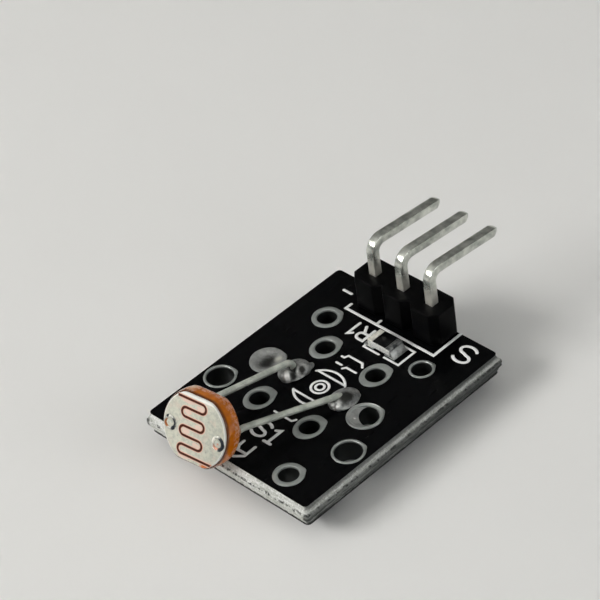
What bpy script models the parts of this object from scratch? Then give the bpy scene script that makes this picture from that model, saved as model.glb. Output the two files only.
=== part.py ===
"""Light sensor module: a photocell and a chip resistor on a small drilled circuit board with a bent pin header.

Units are metres. +X runs across the board, +Y from the sensor end to the header, and +Z up.
The module stands on the trimmed ends of its five soldered tails, which all end in the plane Z = 0.
The origin is in that plane, below the middle of the module's outline seen from above.
"""

import math

import bmesh
import bpy
from mathutils import Matrix, Vector

# Running clearances: a seated piece keeps this gap to what carries it, and a cutter runs past what it cuts.
seat_gap = 0.00002
cut_overrun = 0.0005

# The board: a laminate snapped out of a scored panel, so its edges are a broken web between two V cuts.
board_width = 0.0150
board_length = 0.0185
board_thickness = 0.0016
score_inset = 0.0003
score_depth = 0.00052
web_step = 0.00008
face_corner_radius = 0.00008
web_corner_radius = 0.00042
corner_steps = 3
tail_length = 0.0012

# Rows of holes, each measured from the front edge of the board. The inner column is measured from its
# centre line, and the outer ones from its side edges.
front_row = 0.00175
side_row = 0.00555
lower_row = 0.00566
wide_row = 0.00856
lead_row = 0.00887
upper_row = 0.01181
rear_row = 0.01405
header_row = 0.0173
inner_column = 0.00228
outer_inset = 0.0032
side_inset = 0.00164

# Plated holes: tinned copper pads on both faces, joined by a barrel through the board.
plating_thickness = 0.00006
hole_segments = 20
small_hole_radius = 0.00063
round_pad_radius = 0.00106
oval_pad_half_width = 0.00098
oval_pad_half_length = 0.00119
wide_hole_radius = 0.00096
wide_pad_radius = 0.00124
side_hole_radius = 0.00094
side_pad_radius = 0.00113
lead_hole_radius = 0.00052
lead_pad_half_width = 0.00088
lead_pad_half_length = 0.00112
pad_spacing = 0.00003
header_hole_radius = 0.00056
header_pad_radius = 0.00085

# The header: three square pins at the usual pitch in one moulded block.
pin_pitch = 0.00254
pin_count = 3
pin_width = 0.00064
pin_edge_cut = 0.00006
pin_tip_length = 0.0004
pin_tip_share = 0.5
pin_bend_radius = 0.00078
pin_rise = 0.0025
pin_reach = 0.0064
pin_droop_degrees = 5.5
bend_steps = 7
housing_depth = 0.0025
housing_height = 0.00254
housing_notch = 0.0005
housing_edge_cut = 0.00007

# Solder cones round the tails below the board.
header_cone_height = 0.00072
header_cone_top_radius = 0.00053
solder_skin = 0.00002

# The photocell: a ceramic disc with two flats, a striped face, and a domed resin back.
cell_radius = 0.00253
cell_flat_cut = 0.00026
cell_depth = 0.00105
film_thickness = 0.00005
coat_wall = 0.00003
coat_swell = 0.00009
coat_dome = 0.00095
coat_lip = 0.00003
coat_back_radius_share = 0.4
cell_arc_steps = 13
cell_overhang = 0.0008
cell_offset = 0.00115
cell_lean_degrees = 23.0
cell_turn_degrees = 6.5
stroke_count = 7
stroke_pitch = 0.00058
first_stroke = 0.00175
track_width = 0.00016
track_gap = 0.00001
right_turn_clearance = 0.00059
left_turn_clearance = 0.0002
turn_steps = 8
contact_inset = 0.00058
contact_drop = 0.00018
contact_radius = 0.00045
contact_proud = 0.00009
contact_rim = 0.00008

# The photocell's wires, which run back over the board and bend down into the lead holes.
lead_radius = 0.00025
lead_stub = 0.0005
left_lead_height = 0.0012
right_lead_height = 0.00085
lead_bend_radius = 0.0006
lead_turn_steps = 5
lead_dome_height = 0.00048
lead_dome_top_radius = 0.00042
lead_cone_height = 0.0006

# The chip resistor and the lands that it is soldered to.
chip_length = 0.0020
chip_width = 0.00125
chip_height = 0.00045
chip_row = 0.01425
chip_clearance = 0.00096
cap_length = 0.0004
cap_thickness = 0.00003
glaze_thickness = 0.00004
glaze_margin = 0.00004
land_length = 0.0009
land_width = 0.0013
land_outset = 0.00038
land_thickness = 0.00005
fillet_rise_share = 0.8
fillet_sag_share = 0.2
fillet_steps = 4


# Heights worked out from the sizes above.
board_bottom = tail_length
board_top = board_bottom + board_thickness
pad_top = board_top + seat_gap + plating_thickness
pad_bottom = board_bottom - seat_gap - plating_thickness
housing_bottom = pad_top + seat_gap
housing_top = housing_bottom + housing_height
front_edge = -board_length / 2
outer_column = board_width / 2 - outer_inset
side_column = board_width / 2 - side_inset
chip_offset = outer_column - round_pad_radius - chip_clearance - land_outset - chip_length / 2
cell_half_height = cell_radius - cell_flat_cut
contact_spacing = 2 * (cell_radius - contact_inset)
turn_limit = contact_spacing / 2 - contact_radius - (stroke_pitch + track_width) / 2
right_turn = turn_limit - right_turn_clearance
left_turn = turn_limit - left_turn_clearance


def clear_scene():
    for obj in list(bpy.data.objects):
        bpy.data.objects.remove(obj, do_unlink=True)


def principled(name, colour, roughness, metallic=0.0):
    made = bpy.data.materials.new(name)
    made.use_nodes = True
    shader = made.node_tree.nodes["Principled BSDF"]
    shader.inputs["Base Color"].default_value = (*colour, 1.0)
    shader.inputs["Roughness"].default_value = roughness
    shader.inputs["Metallic"].default_value = metallic
    made.diffuse_color = (*colour, 1.0)
    return made


def add_mesh_object(name, bm, surface, parent):
    """Closes a bmesh as a named object, with smooth shading that breaks at its real edges."""
    bmesh.ops.recalc_face_normals(bm, faces=bm.faces)
    mesh = bpy.data.meshes.new(name)
    bm.to_mesh(mesh)
    bm.free()
    mesh.shade_smooth()
    mesh.set_sharp_from_angle(angle=math.radians(34))
    mesh.materials.append(surface)
    obj = bpy.data.objects.new(name, mesh)
    bpy.context.collection.objects.link(obj)
    obj.parent = parent
    return obj


def hide_cutter(obj):
    obj.hide_render = True
    obj.display_type = "WIRE"


def cut(target, cutter):
    modifier = target.modifiers.new("cut", "BOOLEAN")
    modifier.operation = "DIFFERENCE"
    modifier.solver = "EXACT"
    modifier.object = cutter


def bridge(bm, lower, upper):
    """Joins two rings of the same number of vertices with quads."""
    count = len(lower)
    for i in range(count):
        j = (i + 1) % count
        bm.faces.new((lower[i], lower[j], upper[j], upper[i]))


def loft(bm, rings, wrap=False):
    """Skins rings of points in order: capped at both ends, or wrapped round into a sleeve with a through hole."""
    loops = [[bm.verts.new(point) for point in ring] for ring in rings]
    for lower, upper in zip(loops, loops[1:]):
        bridge(bm, lower, upper)
    if wrap:
        bridge(bm, loops[-1], loops[0])
    else:
        bm.faces.new(loops[0])
        bm.faces.new(loops[-1])


def oval_ring(half_x, half_y, z, segments, centre=(0, 0)):
    turns = [2 * math.pi * i / segments for i in range(segments)]
    return [(centre[0] + half_x * math.cos(a), centre[1] + half_y * math.sin(a), z) for a in turns]


def square_ring(half, z, segments):
    """A square whose points share their angles with those of a round ring, so that the two can be bridged."""
    turns = [2 * math.pi * i / segments for i in range(segments)]
    stretch = [half / max(abs(math.cos(a)), abs(math.sin(a))) for a in turns]
    return [(r * math.cos(a), r * math.sin(a), z) for r, a in zip(stretch, turns)]


def rounded_rectangle(half_x, half_y, radius, z):
    ring = []
    for corner, (sx, sy) in enumerate(((1, 1), (-1, 1), (-1, -1), (1, -1))):
        centre_x = sx * (half_x - radius)
        centre_y = sy * (half_y - radius)
        for step in range(corner_steps + 1):
            a = math.pi / 2 * (corner + step / corner_steps)
            ring.append((centre_x + radius * math.cos(a), centre_y + radius * math.sin(a), z))
    return ring


def finish_cutter(name, bm, parent):
    obj = add_mesh_object(name, bm, materials["solder"], parent)
    hide_cutter(obj)
    return obj


def row_y(row):
    return front_edge + row


def hole_table():
    """Each plated hole: name, x, row, hole radius, and the half width and half length of its pads."""
    wide_column = inner_column + lead_pad_half_width + pad_spacing + wide_pad_radius
    small_round = (small_hole_radius, round_pad_radius, round_pad_radius)
    small_oval = (small_hole_radius, oval_pad_half_width, oval_pad_half_length)
    wide_round = (wide_hole_radius, wide_pad_radius, wide_pad_radius)
    thin_round = (side_hole_radius, side_pad_radius, side_pad_radius)
    lead_oval = (lead_hole_radius, lead_pad_half_width, lead_pad_half_length)
    kinds = (
        ("plated_hole_rear", outer_column, rear_row, small_round),
        ("plated_hole_upper", inner_column, upper_row, small_oval),
        ("wide_hole", wide_column, wide_row, wide_round),
        ("lead_hole", inner_column, lead_row, lead_oval),
        ("plated_hole_lower", inner_column, lower_row, small_oval),
        ("side_hole", side_column, side_row, thin_round),
        ("plated_hole_front", outer_column, front_row, small_round),
    )
    holes = []
    for name, column, row, sizes in kinds:
        for side, sign in (("left", -1), ("right", 1)):
            holes.append((f"{name}_{side}", sign * column, row_y(row), *sizes))
    for name, x in pin_places():
        holes.append((f"header_hole_{name}", x, row_y(header_row), header_hole_radius, *[header_pad_radius] * 2))
    return holes


def pin_places():
    names = ("left", "middle", "right")
    return [(names[i], (i - (pin_count - 1) / 2) * pin_pitch) for i in range(pin_count)]


def make_board(parent):
    half_x = board_width / 2
    half_y = board_length / 2
    levels = (
        (score_inset, 0, face_corner_radius),
        (web_step, score_depth, web_corner_radius),
        (0, score_depth + web_step, web_corner_radius),
        (0, board_thickness - score_depth - web_step, web_corner_radius),
        (web_step, board_thickness - score_depth, web_corner_radius),
        (score_inset, board_thickness, face_corner_radius),
    )
    bm = bmesh.new()
    loft(bm, [rounded_rectangle(half_x - inset, half_y - inset, r, board_bottom + z) for inset, z, r in levels])
    board = add_mesh_object("circuit_board", bm, materials["board"], parent)
    bm = bmesh.new()
    for name, x, y, radius, _, _ in hole_table():
        drill = radius + plating_thickness + seat_gap
        ends = (board_bottom - cut_overrun, board_top + cut_overrun)
        loft(bm, [oval_ring(drill, drill, z, hole_segments, (x, y)) for z in ends])
    cut(board, finish_cutter("board_drills", bm, parent))


def make_plated_hole(name, x, y, radius, half_x, half_y, parent):
    barrel = radius + plating_thickness
    bottom_pad = board_bottom - seat_gap
    top_pad = board_top + seat_gap
    sections = (
        (radius, radius, pad_bottom),
        (half_x, half_y, pad_bottom),
        (half_x, half_y, bottom_pad),
        (barrel, barrel, bottom_pad),
        (barrel, barrel, top_pad),
        (half_x, half_y, top_pad),
        (half_x, half_y, pad_top),
        (radius, radius, pad_top),
    )
    bm = bmesh.new()
    loft(bm, [oval_ring(*section, hole_segments) for section in sections], wrap=True)
    obj = add_mesh_object(name, bm, materials["tin"], parent)
    obj.location = (x, y, 0)


def housing_outline(z):
    """Three pitch cells in a row, each with its corners cut off, so that the long sides have notches."""
    front = []
    for _, x in pin_places():
        left = x - pin_pitch / 2
        right = x + pin_pitch / 2
        if not front:
            front.append((left, housing_notch - housing_depth / 2))
        front.append((left + housing_notch, -housing_depth / 2))
        front.append((right - housing_notch, -housing_depth / 2))
        front.append((right, housing_notch - housing_depth / 2))
    back = [(-x, -y) for x, y in front]
    return [(x, y, z) for x, y in front + back]


def make_housing(parent):
    bm = bmesh.new()
    loft(bm, [housing_outline(z) for z in (housing_bottom, housing_top)])
    housing = add_mesh_object("header_housing", bm, materials["housing"], parent)
    housing.location = (0, row_y(header_row), 0)
    bevel = housing.modifiers.new("moulded edges", "BEVEL")
    bevel.width = housing_edge_cut
    bevel.segments = 1
    bevel.limit_method = "ANGLE"
    bevel.angle_limit = math.radians(60)
    half = pin_width / 2 + seat_gap
    bm = bmesh.new()
    for _, x in pin_places():
        corners = ((x - half, -half), (x + half, -half), (x + half, half), (x - half, half))
        ends = (housing_bottom - cut_overrun, housing_top + cut_overrun)
        loft(bm, [[(cx, cy, z) for cx, cy in corners] for z in ends])
    slots = finish_cutter("housing_slots", bm, parent)
    slots.location = housing.location
    cut(housing, slots)


def pin_section(y, z, heading, share):
    """A square section with cut corners, across a pin that heads along (sin, cos) of the given angle."""
    half = pin_width / 2
    flat = half - pin_edge_cut
    outline = ((half, flat), (flat, half), (-flat, half), (-half, flat))
    outline += tuple((-a, -b) for a, b in outline)
    ring = []
    for across, up in outline:
        ring.append((across * share, y - up * share * math.cos(heading), z + up * share * math.sin(heading)))
    return ring


def make_pin(name, x, parent):
    end_turn = math.radians(90 + pin_droop_degrees)
    bend_start = housing_top + pin_rise - pin_bend_radius
    sections = [pin_section(0, 0, 0, pin_tip_share), pin_section(0, pin_tip_length, 0, 1)]
    for step in range(bend_steps + 1):
        turn = end_turn * step / bend_steps
        y = pin_bend_radius * (1 - math.cos(turn))
        z = bend_start + pin_bend_radius * math.sin(turn)
        sections.append(pin_section(y, z, turn, 1))
    run = (pin_reach - y) / math.sin(end_turn)
    for along, share in ((run - pin_tip_length, 1), (run, pin_tip_share)):
        tip_y = y + along * math.sin(end_turn)
        tip_z = z + along * math.cos(end_turn)
        sections.append(pin_section(tip_y, tip_z, end_turn, share))
    bm = bmesh.new()
    loft(bm, sections)
    pin = add_mesh_object(f"header_pin_{name}", bm, materials["pin"], parent)
    pin.location = (x, row_y(header_row), 0)


def make_header_solder(name, x, parent):
    """A solder cone on the lower pad, with a plug that fills the barrel round the square pin."""
    pin_half = pin_width / 2 + seat_gap
    plug = header_hole_radius - solder_skin
    segments = 24
    cone_foot = pad_bottom - solder_skin
    cone_top = cone_foot - header_cone_height
    waist = (header_pad_radius + 2 * header_cone_top_radius) / 3
    rings = [
        square_ring(pin_half, cone_top, segments),
        oval_ring(header_cone_top_radius, header_cone_top_radius, cone_top, segments),
        oval_ring(waist, waist, cone_foot - header_cone_height / 2, segments),
        oval_ring(header_pad_radius, header_pad_radius, cone_foot, segments),
        oval_ring(plug, plug, cone_foot, segments),
        oval_ring(plug, plug, board_top, segments),
        square_ring(pin_half, board_top, segments),
    ]
    bm = bmesh.new()
    loft(bm, rings, wrap=True)
    obj = add_mesh_object(f"header_solder_{name}", bm, materials["solder"], parent)
    obj.location = (x, row_y(header_row), 0)


def cell_outline(radius, half_height, depth):
    """The disc's outline in its own X and Z, at one depth along its Y: two arcs joined by flats."""
    reach = math.asin(half_height / radius)
    ring = []
    for middle in (0, math.pi):
        for step in range(cell_arc_steps + 1):
            a = middle - reach + 2 * reach * step / cell_arc_steps
            ring.append((radius * math.cos(a), depth, radius * math.sin(a)))
    return ring


def contact_places():
    return [("left", -contact_spacing / 2, -contact_drop), ("right", contact_spacing / 2, -contact_drop)]


def wire_cutter(name, radius, depth_low, depth_high, seat):
    """Two rods along the photocell's depth, where its wires pass through."""
    bm = bmesh.new()
    for _, u, v in contact_places():
        rings = [oval_ring(radius, radius, depth, hole_segments, (u, -v)) for depth in (depth_low, depth_high)]
        loft(bm, [[(a, depth, -b) for a, b, depth in ring] for ring in rings])
    return finish_cutter(name, bm, seat)


def make_ceramic(seat):
    front = film_thickness + seat_gap
    bm = bmesh.new()
    loft(bm, [cell_outline(cell_radius, cell_half_height, depth) for depth in (front, cell_depth)])
    ceramic = add_mesh_object("sensor_ceramic_base", bm, materials["ceramic"], seat)
    bore = lead_radius + seat_gap
    cut(ceramic, wire_cutter("ceramic_bores", bore, front - cut_overrun, cell_depth + cut_overrun, seat))


def make_coat(seat):
    """The resin cup that the disc was dipped in: a thin lip round the face, a swelling rim and a domed back."""
    cavity_radius = cell_radius + seat_gap
    cavity_half = cell_half_height + seat_gap
    floor = cell_depth + seat_gap
    rim = cavity_radius + coat_wall
    rim_half = cavity_half + coat_wall
    rings = [
        cell_outline(cavity_radius, cavity_half, floor),
        cell_outline(cavity_radius, cavity_half, coat_lip),
        cell_outline(rim, rim_half, coat_lip),
    ]
    swell_steps = 4
    for step in range(1, swell_steps + 1):
        share = step / swell_steps
        swell = coat_swell * math.sin(share * math.pi / 2)
        rings.append(cell_outline(rim + swell, rim_half + swell, coat_lip + share * (floor - coat_lip)))
    dome_steps = 4
    for step in range(1, dome_steps + 1):
        a = math.pi / 2 * step / dome_steps
        shrink = 1 - (1 - coat_back_radius_share) * (1 - math.cos(a))
        depth = floor + coat_dome * math.sin(a)
        rings.append(cell_outline((rim + coat_swell) * shrink, (rim_half + coat_swell) * shrink, depth))
    bm = bmesh.new()
    loft(bm, rings)
    coat = add_mesh_object("sensor_resin_coat", bm, materials["resin"], seat)
    bore = lead_radius + seat_gap
    back = floor + coat_dome + cut_overrun
    cut(coat, wire_cutter("coat_bores", bore, floor - cut_overrun, back, seat))


def rim_reach(v):
    """How far the disc's edge is from its middle, at the height v."""
    return math.sqrt(cell_radius**2 - v**2)


def track_edge(offset):
    """One edge of the serpentine, from the left rim to the right rim, moved by offset to its left-hand side."""
    start = first_stroke + offset
    end = first_stroke - (stroke_count - 1) * stroke_pitch + offset
    points = [(-rim_reach(start), start)]
    for turn in range(stroke_count - 1):
        middle = first_stroke - (turn + 0.5) * stroke_pitch
        to_right = turn % 2 == 0
        centre = right_turn if to_right else -left_turn
        radius = stroke_pitch / 2 + (offset if to_right else -offset)
        for step in range(turn_steps + 1):
            a = math.pi / 2 - math.pi * step / turn_steps
            reach = radius * math.cos(a)
            points.append((centre + (reach if to_right else -reach), middle + radius * math.sin(a)))
    points.append((rim_reach(end), end))
    return points


def rim_arc(start, end):
    """Points of the disc's edge between two angles, both left out."""
    steps = max(2, round(abs(end - start) / (2 * math.pi) * 2 * cell_arc_steps))
    turns = [start + (end - start) * step / steps for step in range(1, steps)]
    return [(cell_radius * math.cos(a), cell_radius * math.sin(a)) for a in turns]


def film_piece(name, outline, surface, seat):
    bm = bmesh.new()
    loft(bm, [[(u, depth, v) for u, v in outline] for depth in (0, film_thickness)])
    return add_mesh_object(name, bm, surface, seat)


def make_face(seat):
    """The striped face: one winding track of photoconductor between two comb electrodes."""
    half = track_width / 2
    upper = track_edge(half)
    lower = track_edge(-half)
    film_piece("sensor_light_track", upper + lower[::-1], materials["track"], seat)

    corner = math.asin(cell_half_height / cell_radius)
    flat = cell_radius * math.cos(corner)
    right = track_edge(half + track_gap)
    left = track_edge(-half - track_gap)
    right_rim = rim_arc(math.atan2(right[-1][1], right[-1][0]), corner)
    right_rim += [(flat, cell_half_height), (-flat, cell_half_height)]
    right_rim += rim_arc(math.pi - corner, math.atan2(right[0][1], right[0][0]))
    left_rim = rim_arc(math.atan2(left[-1][1], left[-1][0]), -corner)
    left_rim += [(flat, -cell_half_height), (-flat, -cell_half_height)]
    left_rim += rim_arc(-math.pi + corner, math.atan2(left[0][1], left[0][0]) - 2 * math.pi)
    combs = (("right", right + right_rim), ("left", left + left_rim))
    window = contact_radius + seat_gap
    windows = wire_cutter("film_windows", window, -cut_overrun, film_thickness + cut_overrun, seat)
    for side, outline in combs:
        cut(film_piece(f"sensor_electrode_{side}", outline, materials["electrode"], seat), windows)


def make_contact(name, u, v, seat):
    """The bead of conductive solder that holds one wire at the face, with a dimple over the wire's end."""
    bore = lead_radius + seat_gap
    low = film_thickness
    sections = (
        (bore, low),
        (contact_radius, low),
        (contact_radius, 0),
        (contact_radius - contact_rim, -contact_proud),
        (bore + contact_rim / 2, -contact_proud),
        (bore, -contact_proud / 2),
    )
    bm = bmesh.new()
    rings = [oval_ring(radius, radius, depth, hole_segments) for radius, depth in sections]
    loft(bm, [[(a, depth, b) for a, b, depth in ring] for ring in rings], wrap=True)
    contact = add_mesh_object(f"sensor_contact_{name}", bm, materials["solder"], seat)
    contact.location = (u, 0, v)


def rounded_route(corners, radius):
    """A wire's centre line: straight runs between the corners, with an arc of the given radius at each inner one."""
    points = [corners[0]]
    for before, corner, after in zip(corners, corners[1:], corners[2:]):
        coming = (corner - before).normalized()
        going = (after - corner).normalized()
        turn = coming.angle(going)
        setback = radius * math.tan(turn / 2)
        start = corner - coming * setback
        inward = (going - coming * coming.dot(going)).normalized()
        centre = start + inward * radius
        for step in range(lead_turn_steps + 1):
            a = turn * step / lead_turn_steps
            points.append(centre - inward * radius * math.cos(a) + coming * radius * math.sin(a))
    points.append(corners[-1])
    return points


def make_lead(name, u, v, height, seat_matrix, parent):
    """One wire, from its bead on the face, back through the disc, over the board and down through its hole."""
    side = -1 if u < 0 else 1
    back = cell_depth + coat_dome + lead_stub
    hole = Vector((side * inner_column, row_y(lead_row), 0))
    corners = [
        seat_matrix @ Vector((u, 0, v)),
        seat_matrix @ Vector((u, back, v)),
        hole + Vector((0, 0, board_top + height)),
        hole,
    ]
    curve = bpy.data.curves.new(f"sensor_lead_{name}", "CURVE")
    curve.dimensions = "3D"
    curve.bevel_depth = lead_radius
    curve.bevel_resolution = 3
    curve.use_fill_caps = True
    spline = curve.splines.new("POLY")
    route = rounded_route(corners, lead_bend_radius)
    spline.points.add(len(route) - 1)
    for point, place in zip(spline.points, route):
        point.co = (*place, 1)
    curve.materials.append(materials["lead"])
    obj = bpy.data.objects.new(f"sensor_lead_{name}", curve)
    bpy.context.collection.objects.link(obj)
    obj.parent = parent


def make_lead_solder(name, side, parent):
    """The joint of one wire: a dome on the upper pad, a plug through the barrel and a cone on the lower pad."""
    bore = lead_radius + seat_gap
    plug = lead_hole_radius - solder_skin
    dome_foot = pad_top + solder_skin
    dome_top = dome_foot + lead_dome_height
    cone_foot = pad_bottom - solder_skin
    cone_top = cone_foot - lead_cone_height
    top = lead_dome_top_radius
    sections = (
        (bore, bore, cone_top),
        (top, top, cone_top),
        ((top + lead_pad_half_width) / 2, (top + lead_pad_half_length) / 2, cone_foot - lead_cone_height / 3),
        (lead_pad_half_width, lead_pad_half_length, cone_foot),
        (plug, plug, cone_foot),
        (plug, plug, dome_foot),
        (lead_pad_half_width, lead_pad_half_length, dome_foot),
        ((top + 2 * lead_pad_half_width) / 3, (top + 2 * lead_pad_half_length) / 3, dome_foot + lead_dome_height / 2),
        (top, top, dome_top),
        (bore, bore, dome_top),
    )
    bm = bmesh.new()
    loft(bm, [oval_ring(*section, hole_segments) for section in sections], wrap=True)
    obj = add_mesh_object(f"sensor_solder_{name}", bm, materials["solder"], parent)
    obj.location = (side * inner_column, row_y(lead_row), 0)


def extruded_profile(name, profile, half_width, surface, parent):
    """An outline in X and Z, drawn out to both sides along Y."""
    bm = bmesh.new()
    loft(bm, [[(x, y, z) for x, z in profile] for y in (-half_width, half_width)])
    return add_mesh_object(name, bm, surface, parent)


def box_profile(x_low, x_high, z_low, z_high):
    return [(x_low, z_low), (x_high, z_low), (x_high, z_high), (x_low, z_high)]


def make_resistor(parent):
    land_top = board_top + seat_gap + land_thickness
    cap_bottom = land_top + seat_gap
    body_bottom = cap_bottom + cap_thickness + seat_gap
    body_top = body_bottom + chip_height
    cap_top = body_top + seat_gap + cap_thickness
    half_length = chip_length / 2
    body_half = half_length - cap_thickness - seat_gap
    centre = (chip_offset, row_y(chip_row), 0)

    body = box_profile(-body_half, body_half, body_bottom, body_top)
    glaze_half = half_length - cap_length - glaze_margin
    glaze = box_profile(-glaze_half, glaze_half, body_top + seat_gap, body_top + seat_gap + glaze_thickness)
    made = [
        extruded_profile("resistor_body", body, chip_width / 2, materials["ceramic"], parent),
        extruded_profile("resistor_glaze", glaze, chip_width / 2 - glaze_margin, materials["glaze"], parent),
    ]
    for side, sign in (("left", -1), ("right", 1)):
        end = sign * half_length
        inner_end = sign * (half_length - cap_thickness)
        mouth = sign * (half_length - cap_length)
        cap = [
            (mouth, cap_bottom),
            (end, cap_bottom),
            (end, cap_top),
            (mouth, cap_top),
            (mouth, cap_top - cap_thickness),
            (inner_end, cap_top - cap_thickness),
            (inner_end, cap_bottom + cap_thickness),
            (mouth, cap_bottom + cap_thickness),
        ]
        made.append(extruded_profile(f"resistor_cap_{side}", cap, chip_width / 2, materials["tin"], parent))

        land_out = end + sign * land_outset
        land = box_profile(land_out - sign * land_length, land_out, board_top + seat_gap, land_top)
        made.append(extruded_profile(f"resistor_land_{side}", land, land_width / 2, materials["tin"], parent))

        foot = end + sign * seat_gap
        rise = fillet_rise_share * (cap_top - cap_bottom)
        fillet = [(foot, cap_bottom), (land_out, cap_bottom)]
        for step in range(1, fillet_steps + 1):
            share = step / fillet_steps
            height = rise * (share - fillet_sag_share * math.sin(math.pi * share))
            fillet.append((land_out + share * (foot - land_out), cap_bottom + height))
        made.append(extruded_profile(f"resistor_solder_{side}", fillet, chip_width / 2, materials["solder"], parent))
    for obj in made:
        obj.location = centre


def seat_of_cell(module):
    """The photocell's own frame: its face's middle, leaning back and turned a little, just clear of the board."""
    lean = math.radians(cell_lean_degrees)
    coat_half = cell_half_height + seat_gap + coat_wall + coat_swell
    lowest = coat_half * math.cos(lean) + (cell_depth + seat_gap) * math.sin(lean)
    seat = bpy.data.objects.new("photocell_seat", None)
    bpy.context.collection.objects.link(seat)
    seat.parent = module
    seat.location = (-cell_offset, front_edge - cell_overhang, board_top + lowest + seat_gap)
    seat.rotation_euler = (-lean, 0, math.radians(cell_turn_degrees))
    return seat


def module_frame():
    """An empty that carries everything, set so that the origin is below the middle of the outline."""
    lean = math.radians(cell_lean_degrees)
    turn = math.radians(cell_turn_degrees)
    coat_half = cell_half_height + coat_wall
    forward = cell_overhang + coat_half * math.sin(lean) + cell_radius * math.sin(turn) / 2
    front = front_edge - forward
    back = row_y(header_row) + pin_reach
    module = bpy.data.objects.new("light_sensor_module", None)
    bpy.context.collection.objects.link(module)
    module.location = (0, -(front + back) / 2, 0)
    return module


def make_module():
    module = module_frame()
    make_board(module)
    for hole in hole_table():
        make_plated_hole(*hole, module)
    make_housing(module)
    for name, x in pin_places():
        make_pin(name, x, module)
        make_header_solder(name, x, module)

    seat = seat_of_cell(module)
    seat_matrix = Matrix.LocRotScale(seat.location, seat.rotation_euler, None)
    make_ceramic(seat)
    make_coat(seat)
    make_face(seat)
    heights = (left_lead_height, right_lead_height)
    for (name, u, v), height, side in zip(contact_places(), heights, (-1, 1)):
        make_contact(name, u, v, seat)
        make_lead(name, u, v, height, seat_matrix, module)
        make_lead_solder(name, side, module)
    make_resistor(module)


clear_scene()
materials = {
    "board": principled("board", (0.012, 0.012, 0.014), 0.3),
    "tin": principled("tin", (0.42, 0.44, 0.42), 0.45, 1.0),
    "solder": principled("solder", (0.5, 0.51, 0.51), 0.25, 1.0),
    "housing": principled("housing", (0.01, 0.01, 0.012), 0.25),
    "pin": principled("pin", (0.6, 0.62, 0.58), 0.3, 1.0),
    "lead": principled("lead", (0.36, 0.37, 0.35), 0.5, 1.0),
    "ceramic": principled("ceramic", (0.78, 0.77, 0.72), 0.6),
    "electrode": principled("electrode", (0.62, 0.61, 0.53), 0.45),
    "track": principled("track", (0.16, 0.02, 0.006), 0.5),
    "resin": principled("resin", (0.68, 0.22, 0.02), 0.2),
    "glaze": principled("glaze", (0.02, 0.02, 0.022), 0.15),
}
make_module()
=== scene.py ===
"""Light sensor module, dressed for its picture: photocell and chip resistor on a small board with a header.

Units are metres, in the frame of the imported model: +X runs across the board, +Y from the photocell to the
header, and +Z up. Finishes and the print are laid out in millimetres.
Each section below models and finishes one piece or one group of like pieces, in the order of assembly.
"""

import math

import bmesh
import bpy
from mathutils import Euler, Matrix, Vector


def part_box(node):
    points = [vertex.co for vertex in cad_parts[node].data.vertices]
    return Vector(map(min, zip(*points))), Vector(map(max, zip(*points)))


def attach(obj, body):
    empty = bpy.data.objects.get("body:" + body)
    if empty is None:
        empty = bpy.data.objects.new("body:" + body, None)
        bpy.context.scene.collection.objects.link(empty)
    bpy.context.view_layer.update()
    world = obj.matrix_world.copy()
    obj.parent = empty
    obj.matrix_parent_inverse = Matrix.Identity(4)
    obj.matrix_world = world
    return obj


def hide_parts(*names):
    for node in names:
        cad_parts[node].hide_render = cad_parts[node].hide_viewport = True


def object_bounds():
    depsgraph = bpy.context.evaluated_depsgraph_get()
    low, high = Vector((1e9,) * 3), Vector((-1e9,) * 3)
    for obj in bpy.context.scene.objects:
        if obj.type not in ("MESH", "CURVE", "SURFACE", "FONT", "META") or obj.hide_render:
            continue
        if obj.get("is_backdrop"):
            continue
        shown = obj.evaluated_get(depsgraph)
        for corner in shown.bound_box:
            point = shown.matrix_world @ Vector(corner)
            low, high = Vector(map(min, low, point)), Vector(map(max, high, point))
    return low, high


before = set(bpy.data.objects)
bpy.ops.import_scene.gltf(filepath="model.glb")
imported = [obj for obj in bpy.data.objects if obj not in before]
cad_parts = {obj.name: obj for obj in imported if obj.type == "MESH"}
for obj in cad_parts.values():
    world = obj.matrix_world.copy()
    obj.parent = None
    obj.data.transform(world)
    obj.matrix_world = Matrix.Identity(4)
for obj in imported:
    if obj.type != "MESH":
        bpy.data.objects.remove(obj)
cad_low, cad_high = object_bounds()
bpy.ops.object.select_all(action="DESELECT")


# The view: a long lens, some 18 cm away, looks down over the right front corner of the board.
# The camera is rolled a few degrees, so that upright edges lean to the left.
view_azimuth = math.radians(50.48)
view_elevation = math.radians(39.77)
view_roll = math.radians(-9.04)
view_distance = 0.1771
view_aim = Vector((-0.00319, 0.00013, 0.00699))
view_lens = 163.8
view_clip = 0.01

bpy.ops.object.camera_add(rotation=(math.pi / 2 - view_elevation, 0, view_azimuth))
camera = bpy.context.object
camera.name = "camera"
turned = Euler(camera.rotation_euler).to_matrix().to_4x4() @ Matrix.Rotation(view_roll, 4, "Z")
camera.matrix_world = Matrix.Translation(view_aim) @ turned @ Matrix.Translation((0, 0, view_distance))
camera.data.lens = view_lens
camera.data.clip_start = view_clip
bpy.context.scene.camera = camera
bpy.context.scene.view_settings.view_transform = "Standard"


# The floor: one pale matt sheet that curves up into a low wall all round, for a plain ground in every view.
# The module stands on its soldered tails, whose ends are level with it.
floor_radius = 0.9
wall_radius = 1.15
wall_height = 0.35
wall_steps = 8
floor_gap = 0.00002
floor_sides = 96
floor_colour = (0.86, 0.86, 0.85)
floor_roughness = 0.95
floor_gloss = 0.1


def draw_rings(rings, centre=(0, 0)):
    """In edit mode, draws the selected loop out through rings of half width, half length and height."""
    for (x0, y0, z0), (x1, y1, z1) in zip(rings, rings[1:]):
        bpy.ops.mesh.extrude_region_move(TRANSFORM_OT_translate={"value": (0, 0, z1 - z0)})
        bpy.ops.transform.resize(value=(x1 / x0, y1 / y0, 1), center_override=(*centre, z1))


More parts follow.
